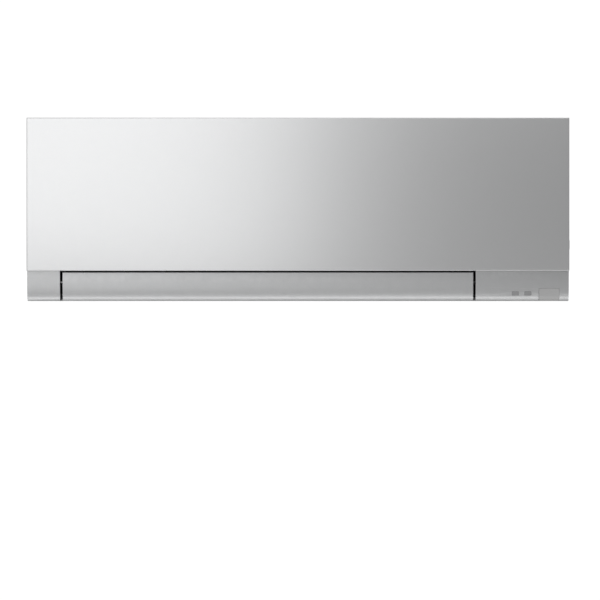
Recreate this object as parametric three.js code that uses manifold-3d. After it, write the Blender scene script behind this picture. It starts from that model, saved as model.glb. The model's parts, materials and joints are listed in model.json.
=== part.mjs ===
// Wall-mounted indoor unit of a split air conditioner, in millimetres.
// The wall is the plane y = 0, the front looks along -Y, +X is to the right and +Z is up.
// The origin is the middle of the face that lies against the wall.

import * as THREE from 'three';
import Module from 'manifold-3d';
import { mergeVertices } from 'three/addons/utils/BufferGeometryUtils.js';

const wasm = await Module();
wasm.setup();

// ---- Driving dimensions -------------------------------------------------------------

// Whole unit
const UNIT_W = 885;
const UNIT_H = 299;
const UNIT_D = 195;
const WALL = 2.5; // moulded wall of the casings
const FIT = 0.4; // gap between pieces that lie against each other
const CUT = 4; // how far a cutting body runs past the face that it cuts
const SLIVER = 0.01; // facets thinner than this are merged after the cuts and joins

// Front panel, a shallow tray
const PANEL_DEPTH = 12;
const PANEL_SKIN = 2.6;
const PANEL_BEVEL = 2;
const BEVEL_STEPS = 3;
const PANEL_GAP = 1.5; // from the tray's rear edge to the casing
const PANEL_RIB = 2;
const PANEL_RIB_DEEP = 3.4;
const PANEL_RIB_COUNT = 6;

// Panel hinge
const HINGE_PIN_R = 1.3;
const HINGE_PIN_FIT = 0.35;
const HINGE_LUG_R = 2.7;
const HINGE_LUG_W = 4;
const HINGE_NECK_DROP = 2.2; // root of the stalk below the axis
const HINGE_EAR_W = 3;
const HINGE_FROM_END = 112; // middle of a lug from the panel's end
const HINGE_BACK = 9.5; // axis behind the panel's face

// Front casing
const CASING_ROUND = 7;
const REAR_SHELL_D = 14.2; // part of the depth that the rear casing takes
const WINDOW_SIDE = 16;
const WINDOW_RIGHT = 21.5; // the front wall stays closed before the electrical box
const WINDOW_BOTTOM = 62;
const WINDOW_TOP = 26;
const WINDOW_BAR = 8;
const WINDOW_BARS = 2;
const MULLION_W = 18;
const TAB_H = 14.5; // finger tab for lifting the panel
const TAB_OUT = 1.3;
const TAB_DEEP = 9;
const TAB_UP = 92; // middle of the tab above the underside

// Corner covers and the strip that they share with the front vane
const STRIP_H = 49.5; // what shows of the strip below the panel
const COVER_TUCK = 8; // how far the covers reach up behind the panel
const STRIP_BACK = 12.7; // face of the strip behind the face of the panel
const STRIP_ROUND = 10.5;
const STRIP_EASE = 3.5; // where the round of the underside begins, above it
const LEFT_COVER_W = 53.7;
const RIGHT_COVER_W = 152.1;
const COVER_WALL = 2.2;
const COVER_REACH = 30;
const COVER_LIP = 2.6;

// Front vane
const VANE_SLOT = 2.2; // dark slot between the panel and the vane
const VANE_GAP = 4.2;
const VANE_SKIN = 3;
const VANE_EDGE = 1; // bevel of the top edge
const VANE_FOOT = 0.6;
const VANE_ARM_R = 4.2;
const VANE_ARM_W = 2.6;
const VANE_ARM_DOWN = 12.6; // reach of an arm's foot below the pivot
const VANE_ARM_UP = 8.4;
const VANE_PIVOT_IN = 11.3; // behind the face of the strip
const VANE_PIVOT_UP = 30.9;
const VANE_PIN_R = 1.3;

// Lower vane
const FLAP_FRONT = 11.4; // its front edge behind the face of the strip
const FLAP_GAP = 1.4; // from its rear edge to the casing's lip
const FLAP_T = 3;
const FLAP_EDGE = 1;
const FLAP_SAG = 1.6;
const FLAP_PIVOT_FROM_REAR = 14;
const FLAP_PIVOT_UP = 10.5;
const FLAP_ARM_R = 3.6;
const FLAP_FOOT_REAR = 7.2; // reach of an arm's foot behind and before the pivot
const FLAP_FOOT_FRONT = 10.8;
const PIN_FIT = 0.35;

// Cross-flow fan
const FAN_ROOM = 100; // depth of the unit that the fan leaves free
const FAN_HUB_R = 11;
const FAN_HUB_L = 22;
const FAN_BORE_L = 16.5;
const BLADE_DEPTH = 11.5;
const FAN_AHEAD = 57.5; // from the panel's face to the fan's front
const FAN_END_GAP = 6;
const BLADE_COUNT = 22;
const BLADE_T = 1.6;
const BLADE_SWEEP = 13; // degrees
const BLADE_CAMBER = 6; // degrees
const DISC_COUNT = 5;
const DISC_T = 2.4;
const DISC_RIM = 1.2;
const SHAFT_R = 4;
const STUB_LENGTH = 14;

// Air duct
const TONGUE_GAP = 5;
const TONGUE_FROM = 189; // degrees round the fan's axis
const TONGUE_TO = 212;
const SCROLL_FROM = 35;
const SCROLL_GAP = 6;
const SCROLL_END_UP = 7.9; // its lower end above the underside
const SCROLL_STEPS = 16;
const TONGUE_STEPS = 4;
const LIP_BEHIND_COVERS = 35.8; // room of the lower vane and its motor
const LIP_LAND = 4.5; // bottom wall in front of the scroll's end

// Drain trough, part of the outlet frame
const TROUGH_WALL = 2.4;
const RIM_ABOVE_TONGUE = 2.2; // the trough's rim above the tongue's top
const TROUGH_FLOOR_UP = 89.5;
const TONGUE_UNDER_TROUGH = 5.8; // from the trough's floor down to the tongue's tip
const SPIGOT_R = 8;
const SPIGOT_BORE_R = 6;
const DRAIN_HOLE_R = 4.2; // through the trough's end
const SPIGOT_LENGTH = 24;
const SPIGOT_BARB = 1;
const SPIGOT_NECK = 16.8; // flange to barb

// Vertical louvres
const LOUVRE_COUNT = 5; // in each bank
const LOUVRE_H = 42;
const LOUVRE_T = 1.6;
const LOUVRE_CORNER = 10.5; // round of the lower corner on the fan's side
const LOUVRE_SHOULDER = 12.6; // height of that round
const LOUVRE_UP_REACH = 16;
const LOUVRE_DOWN_REACH = 15;
const LOUVRE_FROM_TONGUE = 20.5;
const LOUVRE_PIN_R = 1.8;
const LOUVRE_PIN_DEEP = 5;
const LOUVRE_CLEAR = 1.5;
const LINK_REACH = 10; // link pin from the louvre's axis
const LINK_H = 29; // link bar below the duct's roof
const LINK_T = 2;
const LINK_W = 6;
const LINK_CORNER = 2;
const LINK_PIN_R = 1.1;
const LINK_PIN_FIT = 0.6;
const LINK_NOTCH = 4.6;

// Coil
const COIL_T = 24;
const COIL_IN_TROUGH = 6; // its foot below the trough's rim
const COIL_KNEE_UP = 184;
const COIL_PEAK_DOWN = 28; // middle of the slabs' meeting below the top
const COIL_PEAK_AHEAD = 10; // in front of the fan's axis
const COIL_REAR_UP = 190;
const COIL_REAR_OUT = 32;
const COIL_SLAB_GAP = 2;
const FIN_PITCH = 36;
const FIN_DEEP = 5;
const COIL_PLATE_T = 1.2;
const COIL_PLATE_EDGE = 0.8;
const COIL_WEB_DOWN = 18; // web of an end plate below the gutter's rim
const BEND_R = 3.5;
const BEND_SPREAD = 9;
const BEND_REACH = 7;
const BENDS_PER_SLAB = 2;

// Air filters
const FILTER_T = 2.2;
const FILTER_RIM = 7;
const FILTER_ROUND = 28;
const FILTER_FOOT = 1; // above the trough's rim
const FILTER_REAR_OUT = 62;
const FILTER_COLUMNS = 4;
const FILTER_ROWS = 4;
const FILTER_TOP_ROWS = 2;
const FILTER_BAR = 2.4;
const FILTER_GAP = 6;

// Top grille
const GRILLE_DEEP = 5;
const GRILLE_SIDE = 20;
const GRILLE_FRONT_IN = 15.5; // from the casing's front
const GRILLE_REAR_OUT = 46;
const GRILLE_ROWS = 8;
const GRILLE_COLUMNS = 9;
const GRILLE_RIM = 4;
const GRILLE_BAR = 3.2;

// Rear casing and wall plate
const BACK_PLATE_IN = 12; // its front face from the wall
const RIM_TONGUE = 6;
const PIPE_SPACE_H = 57; // height of the channel behind the scroll, open to the wall
const GUTTER_H = 12;
const GUTTER_ABOVE_SCROLL = 11; // its floor above the scroll's top
const RIB_T = 2;
const RIB_ABOVE_ROOF = 5; // the ribs stop short of the channel's roof
const RIB_COUNT = 4;
const PLATE_T = 1.6;
const PLATE_W = 700;
const PLATE_UP = 75;
const PLATE_DOWN = 34; // top edge below the unit's top
const PLATE_CORNER = 18;
const PLATE_HOLE_R = 4;
const PLATE_SLOT_W = 60;
const PLATE_SLOT_H = 16;
const PLATE_SLOT_ROUND = 7.6;
const PLATE_COLUMNS = 4;
const HOOK_W = 40;
const HOOK_RISE = 8;
const HOOK_DOWN = 24; // underside of a hook below the plate's top edge
const HOOK_SPREAD = 440;

// Motor and what holds it
const MOTOR_R = 38;
const MOTOR_EDGE = 6.3;
const MOTOR_LENGTH = 44;
const MOTOR_BOSS_R = 18;
const MOTOR_BOSS = 7;
const CRADLE_W = 26;
const CLAMP_FOOT = 8;
const GROMMET_R = 15;
const GROMMET_FLANGE = 3;
const GROMMET_LIP = 3;

// Vane motors and drive sleeves
const STEPPER_R = 11.3;
const STEPPER_T = 17;
const STEPPER_OFFSET = 6.5;
const SLEEVE_R = 2.1;
const SLEEVE_SEAT = 4;

// Electrics
const PIPE_ROOM = 14.3; // between the fan motor and the electrical box
const PIPE_FREE = 2; // between the pipes and the box
const BOX_RIGHT_GAP = 6.5;
const BOX_IN = 15.5; // from the casing's front
const BOX_BACK = 30;
const BOX_BOTTOM_UP = 72;
const BOX_TOP_DOWN = 37;
const BOX_WALL = 2;
const BOX_LEDGE = 6; // ledges that carry the board, above and below
const LID_T = 2;
const POST_R = 5;
const POST_MARGIN = 38; // posts from the box's ends
const BOARD_T = 1.6;
const BOARD_BACK = 30; // control board before the box's rear wall
const TERMINAL_SIDE = 14.7; // from the block to the box's sides
const TERMINAL_BACK = 8; // behind the box's front
const TERMINAL_RIB = 4.4; // between two ways
const TERMINAL_H = 16;
const TERMINAL_D = 30;
const TERMINAL_WAYS = 4;
const CHIP_H = 9;
const CHIP_W = 18;
const CHIP_D = 18.6;
const CHIP_COUNT = 3;
const CAPACITOR_R = 11;

// Display, lamps and receiver in the right cover
const DISPLAY_W = 96;
const DISPLAY_H = 40;
const DISPLAY_FROM_RIGHT = 8;
const DISPLAY_UP = 5.5;
const DISPLAY_BACK = 14;
const DISPLAY_POST_R = 2.4;
const LENS_W = 10.6;
const LENS_H = 6;
const LENS_CORNER = 1.5;
const LAMP_R = 2;
const DISPLAY_PART_H = 4.7; // lamps and receiver before the board
const LENS_UP = 12.6;
const LENS_PITCH = 20.5;
const LENS_FROM_RIGHT = 87.2; // first lamp from the unit's right side
const LENS_PROUD = 0.2;
const RECEIVER_W = 33;
const RECEIVER_H = 20.5;
const RECEIVER_FROM_RIGHT = 15.5;
const RECEIVER_UNDER = 14;

// Service button behind the panel
const BUTTON_R = 4;
const BUTTON_FLANGE_R = 6;
const BUTTON_FROM_RIGHT = 42.5;
const BUTTON_UP = 89.5;
const BUTTON_PROUD = 2;
const BUTTON_TRAVEL = 1.5;

// Pipes
const GAS_R = 4.8;
const LIQUID_R = 3.2;
const PIPE_END = 60;
const GAS_SHARE = 0.5; // where the pipes meet the rear slab, along its length
const LIQUID_SHARE = 0.95;
const PIPE_TURN = 10;
const PIPE_OUT = 18;
const GAS_UP = 18;
const LIQUID_UP = 36;
const NUT_GRIP = 1.7; // nut radius over pipe radius
const NUT_LENGTH = 17;

// Casing screws and caps
const SCREW_BEHIND_FAN = 6;
const SCREW_SPREAD = 250;
const SCREW_CENTRE = -49;
const SCREW_HEAD_R = 3.4;
const SCREW_HEAD_H = 1.6;
const SCREW_R = 1.6;
const CUP_R = 6;
const CUP_DEPTH = 4.6;
const CAP_T = 1.4;
const BOSS_R = 4.4;

// Coil sensor
const SENSOR_R = 2.5;
const SENSOR_LENGTH = 26;

// Steps on round forms
const ARC_STEPS = 2;
const STRIP_STEPS = 7;
const PIN_SIDES = 8;
const ROUND_SIDES = 20;
const PIPE_SIDES = 7;
const NUT_SIDES = 6;
const PIPE_STEPS = 40;
const BEND_SIDES = 6;
const BEND_STEPS = 5;
const BLADE_STEPS = 2;

// ---- Finishes -----------------------------------------------------------------------

const SILVER_PAINT = { color: 0xc3c5c7, roughness: 0.42, metalness: 0.35 };
const LIGHT_PLASTIC = { color: 0xcfd1d2, roughness: 0.5, metalness: 0.05 };
const DARK_PLASTIC = { color: 0x26282a, roughness: 0.6, metalness: 0 };
const GREY_PLASTIC = { color: 0x6b6f72, roughness: 0.55, metalness: 0 };
const WHITE_PLASTIC = { color: 0xe6e6e2, roughness: 0.5, metalness: 0 };
const FOAM = { color: 0xe9e9e4, roughness: 0.95, metalness: 0 };
const SMOKED = { color: 0x8d8f8c, roughness: 0.18, metalness: 0 };
const RUBBER = { color: 0x1b1b1c, roughness: 0.85, metalness: 0 };
const ALUMINIUM = { color: 0xc9cdd0, roughness: 0.35, metalness: 0.9 };
const GALVANISED = { color: 0xa9adb0, roughness: 0.45, metalness: 0.85 };
const COPPER = { color: 0xb5713f, roughness: 0.32, metalness: 1 };
const BRASS = { color: 0xc6a24c, roughness: 0.3, metalness: 1 };
const STEEL = { color: 0x9a9da0, roughness: 0.3, metalness: 1 };
const BOARD_GREEN = { color: 0x2f5d3a, roughness: 0.5, metalness: 0 };

// ---- Places worked out from the dimensions --------------------------------------------

const LEFT = -UNIT_W / 2;
const RIGHT = UNIT_W / 2;
const TOP = UNIT_H / 2;
const BOTTOM = -UNIT_H / 2;
const FRONT = -UNIT_D;

const PANEL_REAR = FRONT + PANEL_DEPTH;
const PANEL_BOTTOM = BOTTOM + STRIP_H;
const CASING_FRONT = PANEL_REAR + PANEL_GAP;
const CASING_REAR = -REAR_SHELL_D - FIT;
const COVER_TOP = PANEL_BOTTOM + COVER_TUCK;
const STRIP_FACE = FRONT + STRIP_BACK;
const COVER_REAR = STRIP_FACE + COVER_REACH;
const SHELF = COVER_TOP + FIT;

const HINGE_Y = FRONT + HINGE_BACK;
const HINGE_Z = TOP - PANEL_SKIN - HINGE_LUG_R - FIT;
const HINGE_SWEEP = Math.hypot(PANEL_REAR - HINGE_Y, TOP - HINGE_Z);
const BROW_Y = HINGE_Y + HINGE_SWEEP + FIT;
const BROW_Z = HINGE_Z - HINGE_SWEEP;
const HINGE_X = RIGHT - HINGE_FROM_END;

const DUCT_LEFT = LEFT + LEFT_COVER_W;
const DUCT_RIGHT = RIGHT - RIGHT_COVER_W;
const CHEEK_LEFT = DUCT_LEFT - WALL;
const CHEEK_RIGHT = DUCT_RIGHT + WALL;
const VANE_LEFT = DUCT_LEFT + VANE_GAP;
const VANE_RIGHT = DUCT_RIGHT - VANE_GAP;
const VANE_TOP = PANEL_BOTTOM - VANE_SLOT;
const VANE_Y = STRIP_FACE + VANE_PIVOT_IN;
const VANE_Z = BOTTOM + VANE_PIVOT_UP;
const FLAP_TIP = STRIP_FACE + FLAP_FRONT;

const FAN_R = (UNIT_D - FAN_ROOM) / 2;
const FAN_ROOT_R = FAN_R - BLADE_DEPTH;
const FAN_Y = FRONT + FAN_AHEAD + FAN_R;
const FAN_LEFT = DUCT_LEFT + FAN_END_GAP;
const FAN_RIGHT = DUCT_RIGHT - FAN_END_GAP;
const TONGUE_R = FAN_R + TONGUE_GAP;
const TROUGH_FLOOR = BOTTOM + TROUGH_FLOOR_UP;
const FAN_Z = TROUGH_FLOOR - TONGUE_UNDER_TROUGH - TONGUE_R * Math.sin(radians(TONGUE_TO));
const TONGUE_TIP = aroundFan(TONGUE_R, TONGUE_TO);
const TONGUE_TOP = aroundFan(TONGUE_R, TONGUE_FROM);
const TROUGH_RIM = TONGUE_TOP.y + RIM_ABOVE_TONGUE;
const FRAME_FRONT = CASING_FRONT + WALL + FIT;
const DUCT_LIP = new THREE.Vector2(FRAME_FRONT, COVER_TOP + WALL / 2);
const DUCT_ALONG = DUCT_LIP.clone().sub(TONGUE_TIP).normalize();
const DUCT_DOWN = new THREE.Vector2(-DUCT_ALONG.y, DUCT_ALONG.x);
const CASING_LIP_Y = COVER_REAR + LIP_BEHIND_COVERS;
const SCROLL_END = new THREE.Vector2(CASING_LIP_Y + LIP_LAND, BOTTOM + SCROLL_END_UP);
const SCROLL_END_AT = new THREE.Vector2(SCROLL_END.x - FAN_Y, SCROLL_END.y - FAN_Z); // from the fan's axis
const SCROLL_TO = THREE.MathUtils.radToDeg(Math.atan2(SCROLL_END_AT.y, SCROLL_END_AT.x));
const FLAP_TAIL = CASING_LIP_Y - FLAP_GAP;
const FLAP_Y = FLAP_TAIL - FLAP_PIVOT_FROM_REAR;
const FLAP_Z = BOTTOM + FLAP_PIVOT_UP;

const BACK_PLATE_FRONT = -BACK_PLATE_IN;
const PIPE_ROOF = BOTTOM + PIPE_SPACE_H;
const SCROLL_TOP = scrollPoint(SCROLL_FROM, 0);
const GUTTER_FLOOR = SCROLL_TOP.y + GUTTER_ABOVE_SCROLL;
const BULKHEAD_TOP = GUTTER_FLOOR + GUTTER_H;
const BOX_RIGHT = RIGHT - WALL - BOX_RIGHT_GAP;
const BOX_BOTTOM = BOTTOM + BOX_BOTTOM_UP;
const BOX_TOP = TOP - BOX_TOP_DOWN;
const BOX_FRONT = CASING_FRONT + BOX_IN;
const BOX_LEFT = CHEEK_RIGHT + 2 * FIT + MOTOR_LENGTH + PIPE_ROOM;
const PIPE_RISER = BOX_LEFT - PIPE_FREE; // right side of the rising stretches
const PLATE_TOP = TOP - PLATE_DOWN;
const GRILLE_FRONT = CASING_FRONT + GRILLE_FRONT_IN;
const SCREW_Y = FAN_Y + SCREW_BEHIND_FAN;

const FILTER_FACE = Math.max(BROW_Y, CASING_FRONT) + WALL + FIT;
const FILTER_TOP = TOP - GRILLE_DEEP - 2 * FIT;
const FILTER_LEFT = LEFT + WALL + FIT;
const FILTER_RIGHT = BOX_LEFT - FIT;
const FILTER_MIDDLE = (FILTER_LEFT + FILTER_RIGHT) / 2;
const COIL_LEFT = DUCT_LEFT + 2 * FIT + COIL_PLATE_T;
const COIL_RIGHT = DUCT_RIGHT - 2 * FIT - COIL_PLATE_T;
const COIL_FACE = TONGUE_TOP.x - TROUGH_WALL - FIT - COIL_PLATE_EDGE - COIL_T;

// ---- Small tools ----------------------------------------------------------------------

function radians(degrees) {
  return THREE.MathUtils.degToRad(degrees);
}

// A point of the (y, z) plane round the fan's axis, by radius and angle from +Y.
function aroundFan(radius, degrees) {
  const angle = radians(degrees);
  return new THREE.Vector2(FAN_Y + radius * Math.cos(angle), FAN_Z + radius * Math.sin(angle));
}

// The scroll is a logarithmic spiral below the fan's axis and an arc above it.
function scrollPoint(degrees, outward) {
  const nearest = FAN_R + SCROLL_GAP;
  const growth = Math.log(SCROLL_END_AT.length() / nearest) / -SCROLL_TO;
  return aroundFan(nearest * Math.exp(growth * Math.max(0, -degrees)) + outward, degrees);
}

// A point of the duct's roof frame: along the roof from the tongue, and down from it.
function ductPoint(along, down) {
  return TONGUE_TIP.clone().addScaledVector(DUCT_ALONG, along).addScaledVector(DUCT_DOWN, down);
}

function point(y, z) {
  return new THREE.Vector2(y, z);
}

function toSolid(geometry) {
  const bare = geometry.clone();
  bare.deleteAttribute('normal');
  bare.deleteAttribute('uv');
  const merged = mergeVertices(bare);
  const mesh = new wasm.Mesh({
    numProp: 3,
    vertProperties: Float32Array.from(merged.attributes.position.array),
    triVerts: Uint32Array.from(merged.index.array),
  });
  return new wasm.Manifold(mesh);
}

function join(first, ...others) {
  return others.reduce((body, other) => body.add(other), first);
}

function cut(body, ...tools) {
  return tools.reduce((rest, tool) => rest.subtract(tool), body);
}

function part(name, solid, finish) {
  const mesh = solid.simplify(SLIVER).getMesh();
  const geometry = new THREE.BufferGeometry();
  geometry.setAttribute('position', new THREE.BufferAttribute(mesh.vertProperties, 3));
  geometry.setIndex(new THREE.BufferAttribute(mesh.triVerts, 1));
  geometry.computeVertexNormals();
  const body = new THREE.Mesh(geometry, new THREE.MeshStandardMaterial(finish));
  body.name = name;
  return body;
}

function extrude(shape, depth, curveSegments) {
  return new THREE.ExtrudeGeometry(shape, { depth, bevelEnabled: false, curveSegments });
}

// A profile of the (y, z) plane, pulled along X.
function alongX(shape, xFrom, xTo, steps = ARC_STEPS) {
  const geometry = extrude(shape, xTo - xFrom, steps);
  const turn = new THREE.Matrix4().set(0, 0, 1, xFrom, 1, 0, 0, 0, 0, 1, 0, 0, 0, 0, 0, 1);
  return toSolid(geometry.applyMatrix4(turn));
}

// A profile of the (x, z) plane, pulled along Y.
function alongY(shape, yFrom, yTo) {
  const geometry = extrude(shape, yTo - yFrom, ARC_STEPS);
  return toSolid(geometry.rotateX(Math.PI / 2).translate(0, yTo, 0));
}

// A profile of the (x, y) plane, pulled along Z.
function alongZ(shape, zFrom, zTo) {
  return toSolid(extrude(shape, zTo - zFrom, ARC_STEPS).translate(0, 0, zFrom));
}

function block(xFrom, xTo, yFrom, yTo, zFrom, zTo) {
  const geometry = new THREE.BoxGeometry(xTo - xFrom, yTo - yFrom, zTo - zFrom);
  return toSolid(geometry.translate((xFrom + xTo) / 2, (yFrom + yTo) / 2, (zFrom + zTo) / 2));
}

function rodX(radius, xFrom, xTo, y, z, sides = PIN_SIDES) {
  const geometry = new THREE.CylinderGeometry(radius, radius, xTo - xFrom, sides);
  return toSolid(geometry.rotateZ(-Math.PI / 2).translate((xFrom + xTo) / 2, y, z));
}

function rodY(radius, x, yFrom, yTo, z, sides = PIN_SIDES) {
  const geometry = new THREE.CylinderGeometry(radius, radius, yTo - yFrom, sides);
  return toSolid(geometry.translate(0, (yFrom + yTo) / 2, 0).translate(x, 0, z));
}

function rodZ(radius, x, y, zFrom, zTo, sides = PIN_SIDES) {
  const geometry = new THREE.CylinderGeometry(radius, radius, zTo - zFrom, sides);
  return toSolid(geometry.rotateX(Math.PI / 2).translate(x, y, (zFrom + zTo) / 2));
}

function polygon(points) {
  return new THREE.Shape(points);
}

function rectangle(aFrom, aTo, bFrom, bTo) {
  return polygon([point(aFrom, bFrom), point(aTo, bFrom), point(aTo, bTo), point(aFrom, bTo)]);
}

function roundedRectangle(aFrom, aTo, bFrom, bTo, radius) {
  const shape = new THREE.Shape();
  shape.moveTo(aFrom + radius, bFrom);
  shape.lineTo(aTo - radius, bFrom);
  shape.absarc(aTo - radius, bFrom + radius, radius, -Math.PI / 2, 0);
  shape.lineTo(aTo, bTo - radius);
  shape.absarc(aTo - radius, bTo - radius, radius, 0, Math.PI / 2);
  shape.lineTo(aFrom + radius, bTo);
  shape.absarc(aFrom + radius, bTo - radius, radius, Math.PI / 2, Math.PI);
  shape.lineTo(aFrom, bFrom + radius);
  shape.absarc(aFrom + radius, bFrom + radius, radius, Math.PI, 1.5 * Math.PI);
  return shape;
}

// `count` places spread evenly over a length, each in the middle of its share.
function spread(from, to, count) {
  const share = (to - from) / count;
  return Array.from({ length: count }, (_, index) => from + share * (index + 0.5));
}

// ---- Front panel ----------------------------------------------------------------------

function panelTray() {
  const face = rectangle(
    LEFT + PANEL_BEVEL, RIGHT - PANEL_BEVEL, PANEL_BOTTOM + PANEL_BEVEL, TOP - PANEL_BEVEL,
  );
  const bevel = { bevelSize: PANEL_BEVEL, bevelThickness: PANEL_BEVEL, bevelSegments: BEVEL_STEPS };
  const settings = { depth: PANEL_DEPTH, curveSegments: ARC_STEPS, ...bevel };
  const geometry = new THREE.ExtrudeGeometry(face, settings);
  const slab = toSolid(geometry.rotateX(Math.PI / 2).translate(0, FRONT + PANEL_BEVEL + PANEL_DEPTH, 0));
  const behind = block(
    LEFT - CUT, RIGHT + CUT, PANEL_REAR, PANEL_REAR + PANEL_DEPTH, PANEL_BOTTOM - CUT, TOP + CUT,
  );
  const hollow = block(
    LEFT + PANEL_SKIN, RIGHT - PANEL_SKIN,
    FRONT + PANEL_SKIN, PANEL_REAR + CUT,
    PANEL_BOTTOM + PANEL_SKIN, TOP - PANEL_SKIN,
  );
  return cut(slab, behind, hollow);
}

// Pin of one hinge, with an ear on each side of the casing's lug.
function panelPin(x) {
  const half = HINGE_LUG_W / 2 + FIT;
  const ear = polygon([
    point(FRONT + PANEL_SKIN / 2, HINGE_Z - HINGE_LUG_R),
    point(HINGE_Y + HINGE_PIN_R, HINGE_Z - HINGE_LUG_R),
    point(HINGE_Y + HINGE_LUG_R, HINGE_Z),
    point(HINGE_Y + HINGE_LUG_R, TOP - PANEL_SKIN / 2),
    point(FRONT + PANEL_SKIN / 2, TOP - PANEL_SKIN / 2),
  ]);
  return join(
    rodX(HINGE_PIN_R, x - half - HINGE_EAR_W / 2, x + half + HINGE_EAR_W / 2, HINGE_Y, HINGE_Z),
    alongX(ear, x - half - HINGE_EAR_W, x - half),
    alongX(ear, x + half, x + half + HINGE_EAR_W),
  );
}

function frontPanel() {
  const ribs = spread(PANEL_BOTTOM, TOP, PANEL_RIB_COUNT).map((z) => block(
    LEFT + PANEL_SKIN / 2, RIGHT - PANEL_SKIN / 2,
    FRONT + PANEL_SKIN / 2, FRONT + PANEL_SKIN + PANEL_RIB_DEEP,
    z - PANEL_RIB / 2, z + PANEL_RIB / 2,
  ));
  return part('front_panel', join(panelTray(), ...ribs, panelPin(-HINGE_X), panelPin(HINGE_X)), SILVER_PAINT);
}

// ---- Front casing ---------------------------------------------------------------------

function casingProfile(inset, rear) {
  const shape = new THREE.Shape();
  const round = CASING_ROUND - inset;
  const brow = Math.max(BROW_Y, CASING_FRONT) + inset;
  shape.moveTo(rear, BOTTOM + inset);
  shape.lineTo(COVER_REAR + FIT + inset, BOTTOM + inset);
  shape.lineTo(COVER_REAR + FIT + inset, SHELF + inset);
  shape.lineTo(CASING_FRONT + inset, SHELF + inset);
  shape.lineTo(CASING_FRONT + inset, BROW_Z - inset);
  shape.lineTo(brow, BROW_Z + brow - CASING_FRONT - 2 * inset);
  shape.lineTo(brow, TOP - CASING_ROUND);
  shape.absarc(brow + round, TOP - CASING_ROUND, round, Math.PI, Math.PI / 2, true);
  shape.lineTo(rear, TOP - inset);
  return shape;
}

// Lug that carries a hinge pin: a round eye on a stalk that runs below the panel's edge.
function hingeLug(x) {
  const from = x - HINGE_LUG_W / 2;
  const to = x + HINGE_LUG_W / 2;
  const stalk = polygon([
    point(HINGE_Y - HINGE_PIN_R, HINGE_Z - HINGE_NECK_DROP),
    point(HINGE_Y, HINGE_Z - HINGE_LUG_R - WALL),
    point(CASING_FRONT + WALL / 2, HINGE_Z - HINGE_LUG_R - 2 * WALL),
    point(BROW_Y + WALL / 2, HINGE_Z - HINGE_LUG_R - WALL),
    point(BROW_Y + WALL / 2, HINGE_Z - HINGE_LUG_R),
    point(HINGE_Y + HINGE_PIN_R, HINGE_Z - HINGE_NECK_DROP),
  ]);
  const eye = rodX(HINGE_LUG_R, from, to, HINGE_Y, HINGE_Z, ROUND_SIDES / 2);
  const bore = rodX(HINGE_PIN_R + HINGE_PIN_FIT, from - CUT, to + CUT, HINGE_Y, HINGE_Z, ROUND_SIDES / 2);
  return cut(join(eye, alongX(stalk, from, to)), bore);
}

function filterWindows() {
  const left = LEFT + WINDOW_SIDE;
  const right = BOX_LEFT - WINDOW_RIGHT;
  const middle = FILTER_MIDDLE;
  const spans = [[left, middle - MULLION_W / 2], [middle + MULLION_W / 2, right]];
  const bottom = PANEL_BOTTOM + WINDOW_BOTTOM;
  const share = (BROW_Z - WINDOW_TOP - bottom + WINDOW_BAR) / (WINDOW_BARS + 1);
  const rows = Array.from({ length: WINDOW_BARS + 1 }, (_, row) => bottom + row * share);
  return spans.flatMap(([from, to]) => rows.map((z) => block(
    from, to,
    CASING_FRONT - CUT, CASING_FRONT + WALL + FIT,
    z, z + share - WINDOW_BAR,
  )));
}

function casingCup(x) {
  return rodZ(CUP_R + FIT + WALL, x, SCREW_Y, BOTTOM, BOTTOM + CUP_DEPTH + WALL, ROUND_SIDES / 2);
}

function casingCupHollow(x) {
  return join(
    rodZ(CUP_R + FIT, x, SCREW_Y, BOTTOM - CUT, BOTTOM + CUP_DEPTH, ROUND_SIDES / 2),
    rodZ(SCREW_R + FIT, x, SCREW_Y, BOTTOM, BOTTOM + CUP_DEPTH + WALL + CUT),
  );
}

function screwPlaces() {
  return [SCREW_CENTRE - SCREW_SPREAD, SCREW_CENTRE + SCREW_SPREAD];
}

function frontCasing() {
  const shell = cut(
    alongX(casingProfile(0, CASING_REAR), LEFT, RIGHT),
    alongX(casingProfile(WALL, CASING_REAR + CUT), LEFT + WALL, RIGHT - WALL),
  );
  const outlet = block(
    CHEEK_LEFT - FIT, CHEEK_RIGHT + FIT,
    FRONT, CASING_LIP_Y,
    BOTTOM - CUT, SHELF + WALL + FIT,
  );
  const grilleHole = block(
    LEFT + GRILLE_SIDE - FIT, RIGHT - GRILLE_SIDE + FIT,
    GRILLE_FRONT - FIT, -GRILLE_REAR_OUT + FIT,
    TOP - GRILLE_DEEP - CUT, TOP + CUT,
  );
  const tabZ = BOTTOM + TAB_UP;
  const tab = block(
    RIGHT - WALL, RIGHT + TAB_OUT,
    CASING_FRONT, CASING_FRONT + TAB_DEEP,
    tabZ - TAB_H / 2, tabZ + TAB_H / 2,
  );
  const buttonHole = rodY(
    BUTTON_R + PIN_FIT, RIGHT - BUTTON_FROM_RIGHT,
    CASING_FRONT - CUT, CASING_FRONT + WALL + CUT,
    BOTTOM + BUTTON_UP, ROUND_SIDES / 2,
  );
  const body = join(
    cut(shell, outlet, grilleHole, ...filterWindows()),
    tab, hingeLug(-HINGE_X), hingeLug(HINGE_X),
    ...screwPlaces().map(casingCup),
  );
  return part('front_casing', cut(body, buttonHole, ...screwPlaces().map(casingCupHollow)), LIGHT_PLASTIC);
}

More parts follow.
